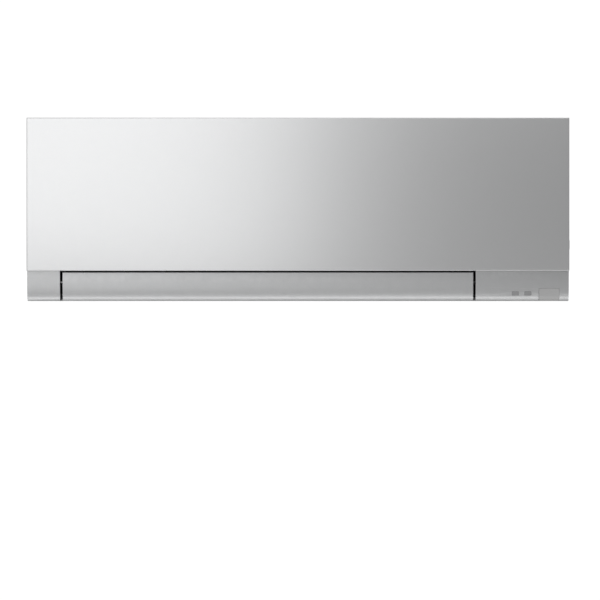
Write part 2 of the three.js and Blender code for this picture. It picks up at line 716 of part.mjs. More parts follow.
// A rim with long slats, tied by cross bars.
function topGrille() {
  const left = LEFT + GRILLE_SIDE;
  const right = RIGHT - GRILLE_SIDE;
  const front = GRILLE_FRONT;
  const rear = -GRILLE_REAR_OUT;
  const low = TOP - GRILLE_DEEP;
  const plate = block(left, right, front, rear, low, TOP);
  const columns = spread(left + GRILLE_RIM, right - GRILLE_RIM, GRILLE_COLUMNS);
  const rows = spread(front + GRILLE_RIM, rear - GRILLE_RIM, GRILLE_ROWS);
  const halfW = (right - left - 2 * GRILLE_RIM) / GRILLE_COLUMNS / 2 - GRILLE_BAR / 2;
  const halfD = (rear - front - 2 * GRILLE_RIM) / GRILLE_ROWS / 2 - GRILLE_BAR / 2;
  const slots = columns.flatMap((x) => rows.map((y) => block(
    x - halfW, x + halfW, y - halfD, y + halfD, low - CUT, TOP + CUT,
  )));
  return part('top_grille', cut(plate, ...slots), LIGHT_PLASTIC);
}

// ---- Corner covers --------------------------------------------------------------------

// Convex outer line of the strip, from its top edge down and round to the underside.
function stripOutline(shape, top, inset) {
  const face = STRIP_FACE + inset;
  const foot = BOTTOM + inset;
  shape.lineTo(face, top);
  shape.bezierCurveTo(
    face, (top + foot) / 2,
    face, foot + STRIP_EASE,
    face + STRIP_ROUND - inset, foot,
  );
}

function coverProfile(top, inset) {
  const shape = new THREE.Shape();
  const rear = inset ? COVER_REAR + CUT : COVER_REAR;
  shape.moveTo(rear, top);
  stripOutline(shape, top, inset);
  shape.lineTo(rear, BOTTOM + inset);
  return shape;
}

function coverShell(from, to) {
  const outer = alongX(coverProfile(COVER_TOP, 0), from, to, STRIP_STEPS);
  const hollow = alongX(
    coverProfile(COVER_TOP - COVER_WALL, COVER_WALL), from + COVER_WALL, to - COVER_WALL, STRIP_STEPS,
  );
  return cut(outer, hollow);
}

// The end at the air outlet has only a short lip, so that the duct's cheek fits behind it.
function lipCut(from, to) {
  return block(
    from, to,
    STRIP_FACE + COVER_WALL + COVER_LIP, COVER_REAR + CUT,
    BOTTOM + COVER_WALL, COVER_TOP + CUT,
  );
}

function leftCover() {
  const body = cut(coverShell(LEFT, DUCT_LEFT), lipCut(DUCT_LEFT - WALL - COVER_WALL, DUCT_LEFT + CUT));
  return part('left_corner_cover', body, SILVER_PAINT);
}

function lensPlaces() {
  const first = RIGHT - LENS_FROM_RIGHT;
  return [first, first + LENS_PITCH];
}

function lensHole(x) {
  const z = BOTTOM + LENS_UP;
  const shape = roundedRectangle(
    x - LENS_W / 2 - FIT, x + LENS_W / 2 + FIT,
    z - LENS_H / 2 - FIT, z + LENS_H / 2 + FIT,
    LENS_CORNER,
  );
  return alongY(shape, FRONT, COVER_REAR - COVER_WALL);
}

function displayPlace() {
  const right = RIGHT - WALL - DISPLAY_FROM_RIGHT;
  return { left: right - DISPLAY_W, right, bottom: BOTTOM + DISPLAY_UP, y: STRIP_FACE + DISPLAY_BACK };
}

function rightCover() {
  const display = displayPlace();
  const postZ = display.bottom + DISPLAY_H - 2 * DISPLAY_POST_R;
  const posts = [display.left + 2 * DISPLAY_POST_R, display.right - 2 * DISPLAY_POST_R].map((x) => rodY(
    DISPLAY_POST_R, x, STRIP_FACE + COVER_WALL / 2, display.y - FIT, postZ,
  ));
  const window = block(
    RIGHT - RECEIVER_FROM_RIGHT - RECEIVER_W - FIT, RIGHT - RECEIVER_FROM_RIGHT + FIT,
    FRONT, STRIP_FACE + STRIP_ROUND + RECEIVER_UNDER + FIT,
    BOTTOM - CUT, BOTTOM + RECEIVER_H + FIT,
  );
  const shell = cut(coverShell(DUCT_RIGHT, RIGHT), lipCut(DUCT_RIGHT - CUT, DUCT_RIGHT + WALL + COVER_WALL));
  const body = cut(join(shell, ...posts), window, ...lensPlaces().map(lensHole));
  return part('right_corner_cover', body, SILVER_PAINT);
}

function receiverWindow() {
  const from = RIGHT - RECEIVER_FROM_RIGHT - RECEIVER_W;
  const to = RIGHT - RECEIVER_FROM_RIGHT;
  const rear = STRIP_FACE + STRIP_ROUND + RECEIVER_UNDER;
  const skin = cut(
    alongX(coverProfile(COVER_TOP, 0), from, to, STRIP_STEPS),
    alongX(coverProfile(COVER_TOP, COVER_WALL), from - CUT, to + CUT, STRIP_STEPS),
    block(from - CUT, to + CUT, FRONT, 0, BOTTOM + RECEIVER_H, COVER_TOP + CUT),
    block(from - CUT, to + CUT, rear, 0, BOTTOM - CUT, COVER_TOP),
  );
  return part('receiver_window', skin, SMOKED);
}

function lampLens(name, x) {
  const z = BOTTOM + LENS_UP;
  const shape = roundedRectangle(
    x - LENS_W / 2, x + LENS_W / 2, z - LENS_H / 2, z + LENS_H / 2, LENS_CORNER,
  );
  const column = alongY(shape, FRONT, COVER_REAR - CUT);
  const proud = alongX(coverProfile(COVER_TOP, -LENS_PROUD), x - LENS_W, x + LENS_W, STRIP_STEPS);
  const hollow = alongX(coverProfile(COVER_TOP, COVER_WALL), x - LENS_W, x + LENS_W, STRIP_STEPS);
  return part(name, column.intersect(proud).subtract(hollow), SMOKED);
}

function displayBoard() {
  const { left, right, bottom, y } = displayPlace();
  const top = bottom + DISPLAY_H;
  const lamps = lensPlaces().map((x) => rodY(
    LAMP_R, x, y - DISPLAY_PART_H, y + BOARD_T / 2, BOTTOM + LENS_UP,
  ));
  const receiverX = RIGHT - RECEIVER_FROM_RIGHT - RECEIVER_W / 2;
  const receiver = block(
    receiverX - LENS_H, receiverX + LENS_H,
    y - DISPLAY_PART_H, y + BOARD_T / 2,
    BOTTOM + LENS_UP - LENS_H / 2, BOTTOM + LENS_UP + LENS_H,
  );
  const sheet = block(left, right, y, y + BOARD_T, bottom, top);
  return part('display_board', join(sheet, receiver, ...lamps), BOARD_GREEN);
}

// ---- Outlet frame ---------------------------------------------------------------------

// Concave line of the tongue beside the fan, from its tip upwards.
function tongueLine(radius) {
  return Array.from({ length: TONGUE_STEPS + 1 }, (_, step) => {
    return aroundFan(radius, TONGUE_TO + ((TONGUE_FROM - TONGUE_TO) * step) / TONGUE_STEPS);
  });
}

function troughProfile() {
  const shape = new THREE.Shape();
  const rearX = TONGUE_TOP.x - TROUGH_WALL;
  shape.moveTo(rearX, TROUGH_RIM);
  shape.lineTo(rearX, TROUGH_FLOOR);
  shape.lineTo(FRAME_FRONT + TROUGH_WALL, TROUGH_FLOOR);
  shape.lineTo(FRAME_FRONT + TROUGH_WALL, TROUGH_RIM - FIT);
  shape.lineTo(FRAME_FRONT, TROUGH_RIM - FIT);
  shape.lineTo(FRAME_FRONT, DUCT_LIP.y);
  for (const place of tongueLine(TONGUE_R)) {
    shape.lineTo(place.x, place.y);
  }
  shape.lineTo(TONGUE_TOP.x, TROUGH_RIM);
  return shape;
}

// The room between the trough's floor and the duct's roof, which the insulation fills.
function wedgeProfile(inset) {
  const front = FRAME_FRONT + TROUGH_WALL + inset;
  const rear = TONGUE_TIP.x - TROUGH_WALL - inset;
  const top = TROUGH_FLOOR - TROUGH_WALL - inset;
  const slope = (DUCT_LIP.y - TONGUE_TIP.y) / (DUCT_LIP.x - TONGUE_TIP.x);
  const lift = (TROUGH_WALL + inset) / Math.abs(DUCT_ALONG.x);
  const roof = (y) => TONGUE_TIP.y + slope * (y - TONGUE_TIP.x) + lift;
  return polygon([point(front, top), point(front, roof(front)), point(rear, roof(rear)), point(rear, top)]);
}

function cheekProfile() {
  const front = STRIP_FACE + COVER_WALL + COVER_LIP + FIT;
  const foot = BOTTOM + COVER_WALL + FIT;
  const seam = point(SCROLL_END.x - FIT - WALL, foot);
  return polygon([
    ...tongueLine(TONGUE_R),
    point(front, TONGUE_TOP.y),
    point(front, BOTTOM + STRIP_ROUND),
    point(front + STRIP_ROUND / 2, foot),
    seam,
  ]);
}

function outletFrame() {
  const ends = [[CHEEK_LEFT, DUCT_LEFT], [DUCT_RIGHT, CHEEK_RIGHT]];
  const cheeks = ends.map(([from, to]) => alongX(cheekProfile(), from, to));
  const trayEnds = ends.map(([from, to]) => alongX(
    rectangle(FRAME_FRONT, TONGUE_TOP.x, TROUGH_FLOOR - TROUGH_WALL, TROUGH_RIM - FIT), from, to,
  ));
  const louvreHoles = louvrePlaces().map((x) => louvreRod(
    x, LOUVRE_PIN_R + PIN_FIT, -LOUVRE_PIN_DEEP - FIT, CUT,
  ));
  const pinHoles = [[VANE_Y, VANE_Z], [FLAP_Y, FLAP_Z]].flatMap(([y, z]) => [
    rodX(VANE_PIN_R + PIN_FIT, CHEEK_LEFT - CUT, DUCT_LEFT + CUT, y, z),
    rodX(SLEEVE_R + PIN_FIT, DUCT_RIGHT - CUT, CHEEK_RIGHT + CUT, y, z),
  ]);
  const spigotHole = rodX(
    DRAIN_HOLE_R, CHEEK_LEFT - CUT, DUCT_LEFT + CUT,
    spigotPlace().x, spigotPlace().y, ROUND_SIDES / 2,
  );
  const bosses = louvrePlaces().map((x) => louvreRod(
    x, LOUVRE_PIN_R + PIN_FIT + TROUGH_WALL, -LOUVRE_PIN_DEEP - TROUGH_WALL, -TROUGH_WALL / 2,
  ));
  const shell = join(alongX(troughProfile(), CHEEK_LEFT, CHEEK_RIGHT), ...cheeks, ...trayEnds);
  const foamRoom = alongX(wedgeProfile(0), CHEEK_LEFT - CUT, CHEEK_RIGHT + CUT);
  const body = join(cut(shell, foamRoom), ...bosses);
  return part('outlet_frame', cut(body, ...louvreHoles, ...pinHoles, spigotHole), DARK_PLASTIC);
}

function drainInsulation() {
  const foam = alongX(wedgeProfile(FIT), CHEEK_LEFT, CHEEK_RIGHT);
  const rooms = louvrePlaces().map((x) => louvreRod(
    x, LOUVRE_PIN_R + PIN_FIT + TROUGH_WALL + FIT, -UNIT_D, 0,
  ));
  return part('drain_insulation', cut(foam, ...rooms), FOAM);
}

function spigotPlace() {
  return point((FRAME_FRONT + TONGUE_TOP.x) / 2, TROUGH_FLOOR + DRAIN_HOLE_R);
}

// Drain outlet at the left end of the trough, a barbed tube with a flange.
function drainSpigot() {
  const end = CHEEK_LEFT - FIT;
  const barb = SPIGOT_R + SPIGOT_BARB;
  const profile = [
    point(SPIGOT_BORE_R, 0),
    point(SPIGOT_R + WALL, 0),
    point(SPIGOT_R + WALL, WALL),
    point(SPIGOT_R, WALL),
    point(SPIGOT_R, SPIGOT_NECK),
    point(barb, SPIGOT_NECK),
    point(SPIGOT_R, SPIGOT_LENGTH),
    point(SPIGOT_BORE_R, SPIGOT_LENGTH),
    point(SPIGOT_BORE_R, 0),
  ];
  const tube = toSolid(new THREE.LatheGeometry(profile, ROUND_SIDES / 2).rotateZ(Math.PI / 2));
  const place = spigotPlace();
  return part('drain_spigot', tube.translate([end, place.x, place.y]), GREY_PLASTIC);
}

// ---- Vertical louvres -----------------------------------------------------------------

function louvrePlaces() {
  const middle = (DUCT_LEFT + DUCT_RIGHT) / 2;
  return [...spread(DUCT_LEFT, middle, LOUVRE_COUNT), ...spread(middle, DUCT_RIGHT, LOUVRE_COUNT)];
}

// Puts what is drawn with its axis on Z (down the duct) and X (along the flow) at a louvre's pivot.
function louvreFrame(x) {
  const pivot = ductPoint(LOUVRE_FROM_TONGUE, 0);
  const side = new THREE.Vector3(1, 0, 0);
  const flow = new THREE.Vector3(0, DUCT_ALONG.x, DUCT_ALONG.y);
  const down = new THREE.Vector3(0, DUCT_DOWN.x, DUCT_DOWN.y);
  const frame = new THREE.Matrix4().makeBasis(flow, side.negate(), down);
  return frame.setPosition(x, pivot.x, pivot.y);
}

function louvreRod(x, radius, from, to) {
  const geometry = new THREE.CylinderGeometry(radius, radius, to - from, PIN_SIDES);
  geometry.rotateX(Math.PI / 2).translate(0, 0, (from + to) / 2);
  return toSolid(geometry.applyMatrix4(louvreFrame(x)));
}

// One louvre in its own frame: X along the flow, Z down the duct.
function louvreBlade() {
  const corner = LINK_REACH - LINK_NOTCH;
  const shape = new THREE.Shape();
  shape.moveTo(-LOUVRE_UP_REACH, LOUVRE_CLEAR);
  shape.lineTo(LOUVRE_DOWN_REACH, LOUVRE_CLEAR);
  shape.lineTo(LOUVRE_DOWN_REACH, LINK_H - LINK_T);
  shape.lineTo(corner, LINK_H - LINK_T);
  shape.lineTo(corner, LOUVRE_H);
  shape.lineTo(-LOUVRE_UP_REACH + LOUVRE_CORNER, LOUVRE_H);
  shape.quadraticCurveTo(-LOUVRE_UP_REACH, LOUVRE_H, -LOUVRE_UP_REACH, LOUVRE_H - LOUVRE_SHOULDER);
  return alongY(shape, -LOUVRE_T / 2, LOUVRE_T / 2);
}

function louvre(name, x) {
  const foot = rodZ(LOUVRE_PIN_R * 2, 0, 0, FIT * 2, LOUVRE_CLEAR + FIT);
  const pin = rodZ(LOUVRE_PIN_R, 0, 0, -LOUVRE_PIN_DEEP, LOUVRE_CLEAR + FIT);
  const linkPin = rodZ(LINK_PIN_R, LINK_REACH, 0, LINK_H - LINK_T - FIT, LINK_H + LINK_T + FIT);
  const mesh = part(name, join(louvreBlade(), foot, pin, linkPin), DARK_PLASTIC);
  mesh.applyMatrix4(louvreFrame(x));
  return mesh;
}

function linkBar(name, places) {
  const pivot = places[0];
  const offsets = places.map((x) => x - pivot);
  const reach = offsets[offsets.length - 1];
  const strip = roundedRectangle(
    LINK_REACH - LINK_W / 2, LINK_REACH + LINK_W / 2,
    -reach - LINK_W / 2, LINK_W / 2,
    LINK_CORNER,
  );
  for (const offset of offsets) {
    const bore = new THREE.Path();
    bore.absarc(LINK_REACH, -offset, LINK_PIN_R + LINK_PIN_FIT, 0, 2 * Math.PI);
    strip.holes.push(bore);
  }
  const mesh = part(name, alongZ(strip, LINK_H - LINK_T / 2, LINK_H + LINK_T / 2), DARK_PLASTIC);
  mesh.applyMatrix4(louvreFrame(pivot));
  return mesh;
}

// ---- Vanes ----------------------------------------------------------------------------

function vaneProfile() {
  const shape = new THREE.Shape();
  const inner = STRIP_FACE + VANE_SKIN;
  const foot = BOTTOM + VANE_FOOT;
  shape.moveTo(inner, VANE_TOP);
  shape.lineTo(STRIP_FACE + VANE_EDGE, VANE_TOP);
  shape.lineTo(STRIP_FACE, VANE_TOP - VANE_EDGE);
  shape.bezierCurveTo(
    STRIP_FACE, (COVER_TOP + BOTTOM) / 2 - VANE_SLOT,
    STRIP_FACE, foot + STRIP_EASE,
    STRIP_FACE + STRIP_ROUND - FIT, foot,
  );
  shape.lineTo(STRIP_FACE + STRIP_ROUND - FIT, foot + VANE_SKIN / 2);
  shape.bezierCurveTo(
    inner, foot + STRIP_EASE + VANE_SKIN,
    inner, (COVER_TOP + BOTTOM) / 2,
    inner, VANE_TOP - VANE_SKIN,
  );
  return shape;
}

function vaneArm(y, z, radius, from, to, foot) {
  const diagonal = radius * Math.SQRT1_2;
  const base = polygon([
    point(y - diagonal, z + diagonal),
    point(y + diagonal, z - diagonal),
    ...foot,
  ]);
  return join(rodX(radius, from, to, y, z, ROUND_SIDES / 2), alongX(base, from, to));
}

function frontVane() {
  const foot = [
    point(STRIP_FACE + VANE_SKIN / 2, VANE_Z - VANE_ARM_DOWN),
    point(STRIP_FACE + VANE_SKIN / 2, VANE_Z + VANE_ARM_UP),
  ];
  const spans = [[VANE_LEFT, VANE_LEFT + VANE_ARM_W], [VANE_RIGHT - VANE_ARM_W, VANE_RIGHT]];
  const arms = spans.map(([from, to]) => vaneArm(VANE_Y, VANE_Z, VANE_ARM_R, from, to, foot));
  const rib = alongX(
    rectangle(
      STRIP_FACE + VANE_SKIN / 2, STRIP_FACE + 2 * VANE_SKIN,
      VANE_Z - VANE_SKIN / 2, VANE_Z + VANE_SKIN / 2,
    ),
    VANE_LEFT, VANE_RIGHT,
  );
  const pin = rodX(VANE_PIN_R, CHEEK_LEFT - FIT, VANE_LEFT + VANE_ARM_W / 2, VANE_Y, VANE_Z);
  const skin = alongX(vaneProfile(), VANE_LEFT, VANE_RIGHT, STRIP_STEPS);
  return part('upper_vane', join(skin, rib, ...arms, pin), SILVER_PAINT);
}

function lowerVane() {
  const foot = BOTTOM + VANE_FOOT;
  const middle = (FLAP_TIP + FLAP_TAIL) / 2;
  const shape = new THREE.Shape();
  shape.moveTo(FLAP_TIP, foot + FLAP_T / 2);
  shape.lineTo(FLAP_TIP + FLAP_T, foot);
  shape.lineTo(FLAP_TAIL - FLAP_T, foot);
  shape.lineTo(FLAP_TAIL, foot + FLAP_T / 2);
  shape.lineTo(FLAP_TAIL - FLAP_EDGE, foot + FLAP_T);
  shape.quadraticCurveTo(middle, foot + FLAP_T + 2 * FLAP_SAG, FLAP_TIP + FLAP_EDGE, foot + FLAP_T);
  const arm = (from, to) => join(
    rodX(FLAP_ARM_R, from, to, FLAP_Y, FLAP_Z, ROUND_SIDES / 2),
    alongX(polygon([
      point(FLAP_Y - FLAP_ARM_R + FIT, FLAP_Z),
      point(FLAP_Y - FLAP_FOOT_FRONT, foot + FLAP_T / 2),
      point(FLAP_Y + FLAP_FOOT_REAR, foot + FLAP_T / 2),
      point(FLAP_Y + FLAP_ARM_R - FIT, FLAP_Z),
    ]), from, to),
  );
  const pin = rodX(VANE_PIN_R, CHEEK_LEFT - FIT, VANE_LEFT + VANE_ARM_W / 2, FLAP_Y, FLAP_Z);
  const body = join(
    alongX(shape, VANE_LEFT, VANE_RIGHT),
    arm(VANE_LEFT, VANE_LEFT + VANE_ARM_W),
    arm(VANE_RIGHT - VANE_ARM_W, VANE_RIGHT),
    pin,
  );
  return part('lower_vane', body, SILVER_PAINT);
}

// Sleeve between a vane and its motor, across the right gap.
function driveSleeve(name, y, z) {
  return part(name, rodX(SLEEVE_R, VANE_RIGHT + FIT, CHEEK_RIGHT + FIT + SLEEVE_SEAT, y, z), DARK_PLASTIC);
}

function vaneMotor(name, y, z, shiftY, shiftZ) {
  const face = CHEEK_RIGHT + FIT;
  const body = join(
    rodX(STEPPER_R, face, face + STEPPER_T, y + shiftY, z + shiftZ, ROUND_SIDES),
    rodX(SLEEVE_R + WALL, face, face + SLEEVE_SEAT + WALL, y, z, ROUND_SIDES / 2),
  );
  const seat = rodX(SLEEVE_R + PIN_FIT, face - CUT, face + SLEEVE_SEAT + FIT, y, z);
  return part(name, cut(body, seat), GREY_PLASTIC);
}

// ---- Cross-flow fan -------------------------------------------------------------------

// Crescent-shaped blade section: swept forward from root to tip.
function bladeShape(degrees) {
  const tilt = radians(BLADE_SWEEP);
  const camber = radians(BLADE_CAMBER);
  const half = radians(BLADE_T * 360 / (2 * Math.PI * FAN_R) / 2);
  const start = radians(degrees);
  const at = (radius, angle) => aroundFan(radius, THREE.MathUtils.radToDeg(start + angle));
  const middle = (FAN_ROOT_R + FAN_R) / 2;
  const shape = new THREE.Shape();
  const root = at(FAN_ROOT_R, -half);
  const rootFar = at(FAN_ROOT_R, half);
  const tip = at(FAN_R, tilt - half / 2);
  const tipFar = at(FAN_R, tilt + half / 2);
  const near = at(middle, tilt / 2 - camber - half);
  const far = at(middle, tilt / 2 - camber + half);
  shape.moveTo(root.x, root.y);
  shape.quadraticCurveTo(near.x, near.y, tip.x, tip.y);
  shape.lineTo(tipFar.x, tipFar.y);
  shape.quadraticCurveTo(far.x, far.y, rootFar.x, rootFar.y);
  return shape;
}

function ringX(inner, outer, xFrom, xTo, y, z) {
  const tube = [
    point(inner, 0), point(outer, 0), point(outer, xTo - xFrom), point(inner, xTo - xFrom), point(inner, 0),
  ];
  const ring = toSolid(new THREE.LatheGeometry(tube, ROUND_SIDES).rotateZ(-Math.PI / 2));
  return ring.translate([xFrom, y, z]);
}

function fanRotor() {
  const blades = Array.from({ length: BLADE_COUNT }, (_, index) => {
    return alongX(bladeShape((index * 360) / BLADE_COUNT), FAN_LEFT, FAN_RIGHT, BLADE_STEPS);
  });
  const step = (FAN_RIGHT - FAN_LEFT - DISC_T) / (DISC_COUNT - 1);
  const rim = FAN_R - DISC_RIM;
  const discs = Array.from({ length: DISC_COUNT }, (_, index) => {
    const from = FAN_LEFT + index * step;
    const solidEnd = index === 0 || index === DISC_COUNT - 1;
    return solidEnd
      ? rodX(rim, from, from + DISC_T, FAN_Y, FAN_Z, ROUND_SIDES)
      : ringX(FAN_ROOT_R - DISC_RIM, rim, from, from + DISC_T, FAN_Y, FAN_Z);
  });
  const stub = rodX(SHAFT_R, FAN_LEFT - STUB_LENGTH, FAN_LEFT + DISC_T, FAN_Y, FAN_Z, ROUND_SIDES / 2);
  const hub = rodX(FAN_HUB_R, FAN_RIGHT - FAN_HUB_L, FAN_RIGHT, FAN_Y, FAN_Z, ROUND_SIDES / 2);
  const bore = rodX(
    SHAFT_R + FIT, FAN_RIGHT - FAN_BORE_L, FAN_RIGHT + CUT, FAN_Y, FAN_Z, ROUND_SIDES / 2,
  );
  return part('fan_rotor', cut(join(discs[0], ...discs.slice(1), ...blades, stub, hub), bore), DARK_PLASTIC);
}

function fanShaft() {
  const from = FAN_RIGHT - FAN_BORE_L + FIT;
  const to = CHEEK_RIGHT + FIT + MOTOR_LENGTH / 2;
  return part('fan_shaft', rodX(SHAFT_R, from, to, FAN_Y, FAN_Z, ROUND_SIDES / 2), STEEL);
}

function bearingHolder() {
  const outer = GROMMET_R - FIT;
  const bore = SHAFT_R + PIN_FIT;
  const length = WALL + 2 * FIT + GROMMET_FLANGE;
  const profile = [
    point(bore, -FIT),
    point(outer, -FIT),
    point(outer, WALL + FIT),
    point(outer + GROMMET_LIP, WALL + FIT),
    point(outer + GROMMET_LIP, length),
    point(bore, length),
    point(bore, -FIT),
  ];
  const ring = toSolid(new THREE.LatheGeometry(profile, ROUND_SIDES).rotateZ(Math.PI / 2));
  return part('fan_bearing_holder', ring.translate([DUCT_LEFT, FAN_Y, FAN_Z]), RUBBER);
}

function fanMotor() {
  const face = CHEEK_RIGHT + 2 * FIT;
  const seat = MOTOR_LENGTH / 2 + FIT;
  const bore = SHAFT_R + PIN_FIT;
  const profile = [
    point(0, seat),
    point(bore, seat),
    point(bore, -MOTOR_BOSS / 2),
    point(MOTOR_BOSS_R, -MOTOR_BOSS / 2),
    point(MOTOR_BOSS_R, MOTOR_BOSS / 2),
    point(MOTOR_R - MOTOR_EDGE, MOTOR_BOSS / 2),
    point(MOTOR_R, MOTOR_BOSS / 2 + MOTOR_EDGE),
    point(MOTOR_R, MOTOR_LENGTH - MOTOR_EDGE),
    point(MOTOR_R - MOTOR_EDGE, MOTOR_LENGTH),
    point(0, MOTOR_LENGTH),
  ];
  const body = toSolid(new THREE.LatheGeometry(profile, ROUND_SIDES).rotateZ(-Math.PI / 2));
  return part('fan_motor', body.translate([face, FAN_Y, FAN_Z]), GALVANISED);
}

function cradleSpan() {
  const from = CHEEK_RIGHT + 2 * FIT + MOTOR_BOSS / 2 + MOTOR_EDGE;
  return { from, to: from + CRADLE_W };
}

// Half of a ring round the motor; the two halves meet at the height of the axis.
function halfRing(xFrom, xTo, upper) {
  const inner = MOTOR_R + FIT;
  const reach = inner + WALL + CUT;
  const ring = ringX(inner, inner + WALL, xFrom, xTo, FAN_Y, FAN_Z);
  const [zFrom, zTo] = upper ? [FAN_Z - reach, FAN_Z + FIT / 2] : [FAN_Z - FIT / 2, FAN_Z + reach];
  return cut(ring, block(xFrom - CUT, xTo + CUT, FAN_Y - reach, FAN_Y + reach, zFrom, zTo));
}

function clampFeet(zFrom, zTo) {
  const { from, to } = cradleSpan();
  const inner = MOTOR_R + FIT;
  const outer = inner + WALL + CLAMP_FOOT;
  return [
    block(from, to, FAN_Y - outer, FAN_Y - inner - WALL / 2, zFrom, zTo),
    block(from, to, FAN_Y + inner + WALL / 2, FAN_Y + outer, zFrom, zTo),
  ];
}

function motorClamp() {
  const { from, to } = cradleSpan();
  const seam = FAN_Z + FIT / 2;
  const body = join(halfRing(from, to, true), ...clampFeet(seam, seam + WALL));
  return part('motor_clamp', body, GREY_PLASTIC);
}

// ---- Rear casing ----------------------------------------------------------------------

function rimFrame(outset, inset, yFrom, yTo) {
  const outer = block(LEFT + outset, RIGHT - outset, yFrom, yTo, BOTTOM + outset, TOP - outset);
  const inner = block(
    LEFT + inset, RIGHT - inset, yFrom - CUT, yTo + CUT, BOTTOM + inset, TOP - inset,
  );
  return cut(outer, inner);
}

function scrollLine(outward) {
  return Array.from({ length: SCROLL_STEPS + 1 }, (_, step) => {
    const degrees = SCROLL_FROM + ((SCROLL_TO - SCROLL_FROM) * step) / SCROLL_STEPS;
    return scrollPoint(degrees, outward);
  });
}

function scrollWall() {
  return alongX(polygon([...scrollLine(0), ...scrollLine(WALL).reverse()]), CHEEK_LEFT, CHEEK_RIGHT);
}

// Drain gutter below the rear slab of the coil, from the scroll's top edge to the back plate.
function rearGutter() {
  const { x, y } = SCROLL_TOP;
  const profile = polygon([
    point(x, y - WALL),
    point(x + WALL, y - WALL),
    point(x + WALL, GUTTER_FLOOR),
    point(BACK_PLATE_FRONT + WALL / 2, GUTTER_FLOOR),
    point(BACK_PLATE_FRONT + WALL / 2, GUTTER_FLOOR + WALL),
    point(x + WALL, GUTTER_FLOOR + WALL),
    point(x + WALL, BULKHEAD_TOP),
    point(x, BULKHEAD_TOP),
  ]);
  return alongX(profile, CHEEK_LEFT, CHEEK_RIGHT);
}

function ribProfile() {
  const lowest = PIPE_ROOF + WALL + RIB_ABOVE_ROOF;
  const line = scrollLine(WALL / 2).filter((place) => place.y > lowest && place.y < GUTTER_FLOOR);
  return polygon([
    point(BACK_PLATE_FRONT + WALL / 2, lowest),
    point(BACK_PLATE_FRONT + WALL / 2, GUTTER_FLOOR + WALL / 2),
    point(line[0].x, GUTTER_FLOOR + WALL / 2),
    ...line,
    point(line[line.length - 1].x, lowest),
  ]);
}

// End wall of the fan chamber: behind the tongue and the duct's cheek, up to the gutter's rim.
function bulkheadProfile() {
  const gap = FIT + WALL / 2;
  const line = tongueLine(TONGUE_R - FIT);
  const front = TONGUE_TOP.x + FIT;
  return polygon([
    point(front, BULKHEAD_TOP),
    point(front, TROUGH_RIM),
    ...line.toReversed(),
    point(line[0].x + gap, line[0].y),
    point(SCROLL_END.x, SCROLL_END.y),
    ...scrollLine(WALL / 2).reverse().slice(1),
    point(SCROLL_TOP.x + WALL / 2, BULKHEAD_TOP),
  ]);
}

function bulkheads() {
  const left = cut(
    alongX(bulkheadProfile(), CHEEK_LEFT, DUCT_LEFT),
    rodX(GROMMET_R, CHEEK_LEFT - CUT, DUCT_LEFT + CUT, FAN_Y, FAN_Z, ROUND_SIDES),
  );
  const right = cut(
    alongX(bulkheadProfile(), DUCT_RIGHT, CHEEK_RIGHT),
    rodX(MOTOR_BOSS_R + FIT, DUCT_RIGHT - CUT, CHEEK_RIGHT + CUT, FAN_Y, FAN_Z, ROUND_SIDES),
  );
  return [left, right];
}

function motorCradle() {
  const { from, to } = cradleSpan();
  const outer = MOTOR_R + FIT + WALL;
  const room = rodX(MOTOR_R + FIT, from - CUT, to + CUT, FAN_Y, FAN_Z, ROUND_SIDES);
  const foot = polygon([
    point(FAN_Y, FAN_Z - outer + WALL / 2),
    point(BACK_PLATE_FRONT + WALL / 2, FAN_Z - outer),
    point(BACK_PLATE_FRONT + WALL / 2, FAN_Z - FIT / 2),
    point(FAN_Y + outer - WALL / 2, FAN_Z - FIT / 2),
  ]);
  const ring = halfRing(CHEEK_RIGHT - WALL / 2, to, false);
  const webs = [from, to - RIB_T].map((x) => cut(alongX(foot, x, x + RIB_T), room));
  return join(ring, ...webs, ...clampFeet(FAN_Z - FIT / 2 - WALL, FAN_Z - FIT / 2));
}

function boxPosts() {
  const x = (BOX_LEFT + BOX_RIGHT) / 2;
  return [BOX_BOTTOM + POST_MARGIN, BOX_TOP - POST_MARGIN].map((z) => rodY(
    POST_R, x, -BOX_BACK + FIT, BACK_PLATE_FRONT + WALL / 2, z,
  ));
}

function screwBoss(x) {
  const foot = BOTTOM + CUP_DEPTH + WALL + FIT;
  const top = scrollUndersideAt(SCREW_Y) + WALL;
  return {
    outer: rodZ(BOSS_R, x, SCREW_Y, foot, top),
    bore: rodZ(SCREW_R + PIN_FIT, x, SCREW_Y, foot - CUT, top - WALL),
  };
}

// Height of the scroll's outer face above a place of the bottom wall.
function scrollUndersideAt(y) {
  const line = scrollLine(WALL).filter((place) => place.y < FAN_Z);
  const next = line.findIndex((place) => place.x <= y);
  const [before, after] = [line[next - 1], line[next]];
  const share = (y - before.x) / (after.x - before.x);
  return before.y + share * (after.y - before.y);
}

function hookPlaces() {
  return [-HOOK_SPREAD / 2, HOOK_SPREAD / 2];
}

function hookSlot(x) {
  const under = PLATE_TOP - HOOK_DOWN;
  return block(
    x - HOOK_W / 2 - 2 * FIT, x + HOOK_W / 2 + 2 * FIT,
    BACK_PLATE_FRONT - CUT, BACK_PLATE_FRONT + WALL + CUT,
    under - FIT, under + PLATE_T + 2 * HOOK_RISE,
  );
}

function casingRim() {
  return join(
    rimFrame(0, WALL, -REAR_SHELL_D, -FIT),
    rimFrame(WALL + FIT, 2 * WALL, -REAR_SHELL_D - RIM_TONGUE, -REAR_SHELL_D / 2),
    rimFrame(WALL / 2, 2 * WALL, -REAR_SHELL_D, -REAR_SHELL_D / 2),
  );
}

// The foot of the rim is a bar that clips in between the side walls once the pipes are laid.
function rimFoot(clearance) {
  return block(
    LEFT + 2 * WALL + clearance, RIGHT - 2 * WALL - clearance,
    -REAR_SHELL_D - 2 * RIM_TONGUE, 0,
    BOTTOM - WALL, BOTTOM + 3 * WALL,
  );
}

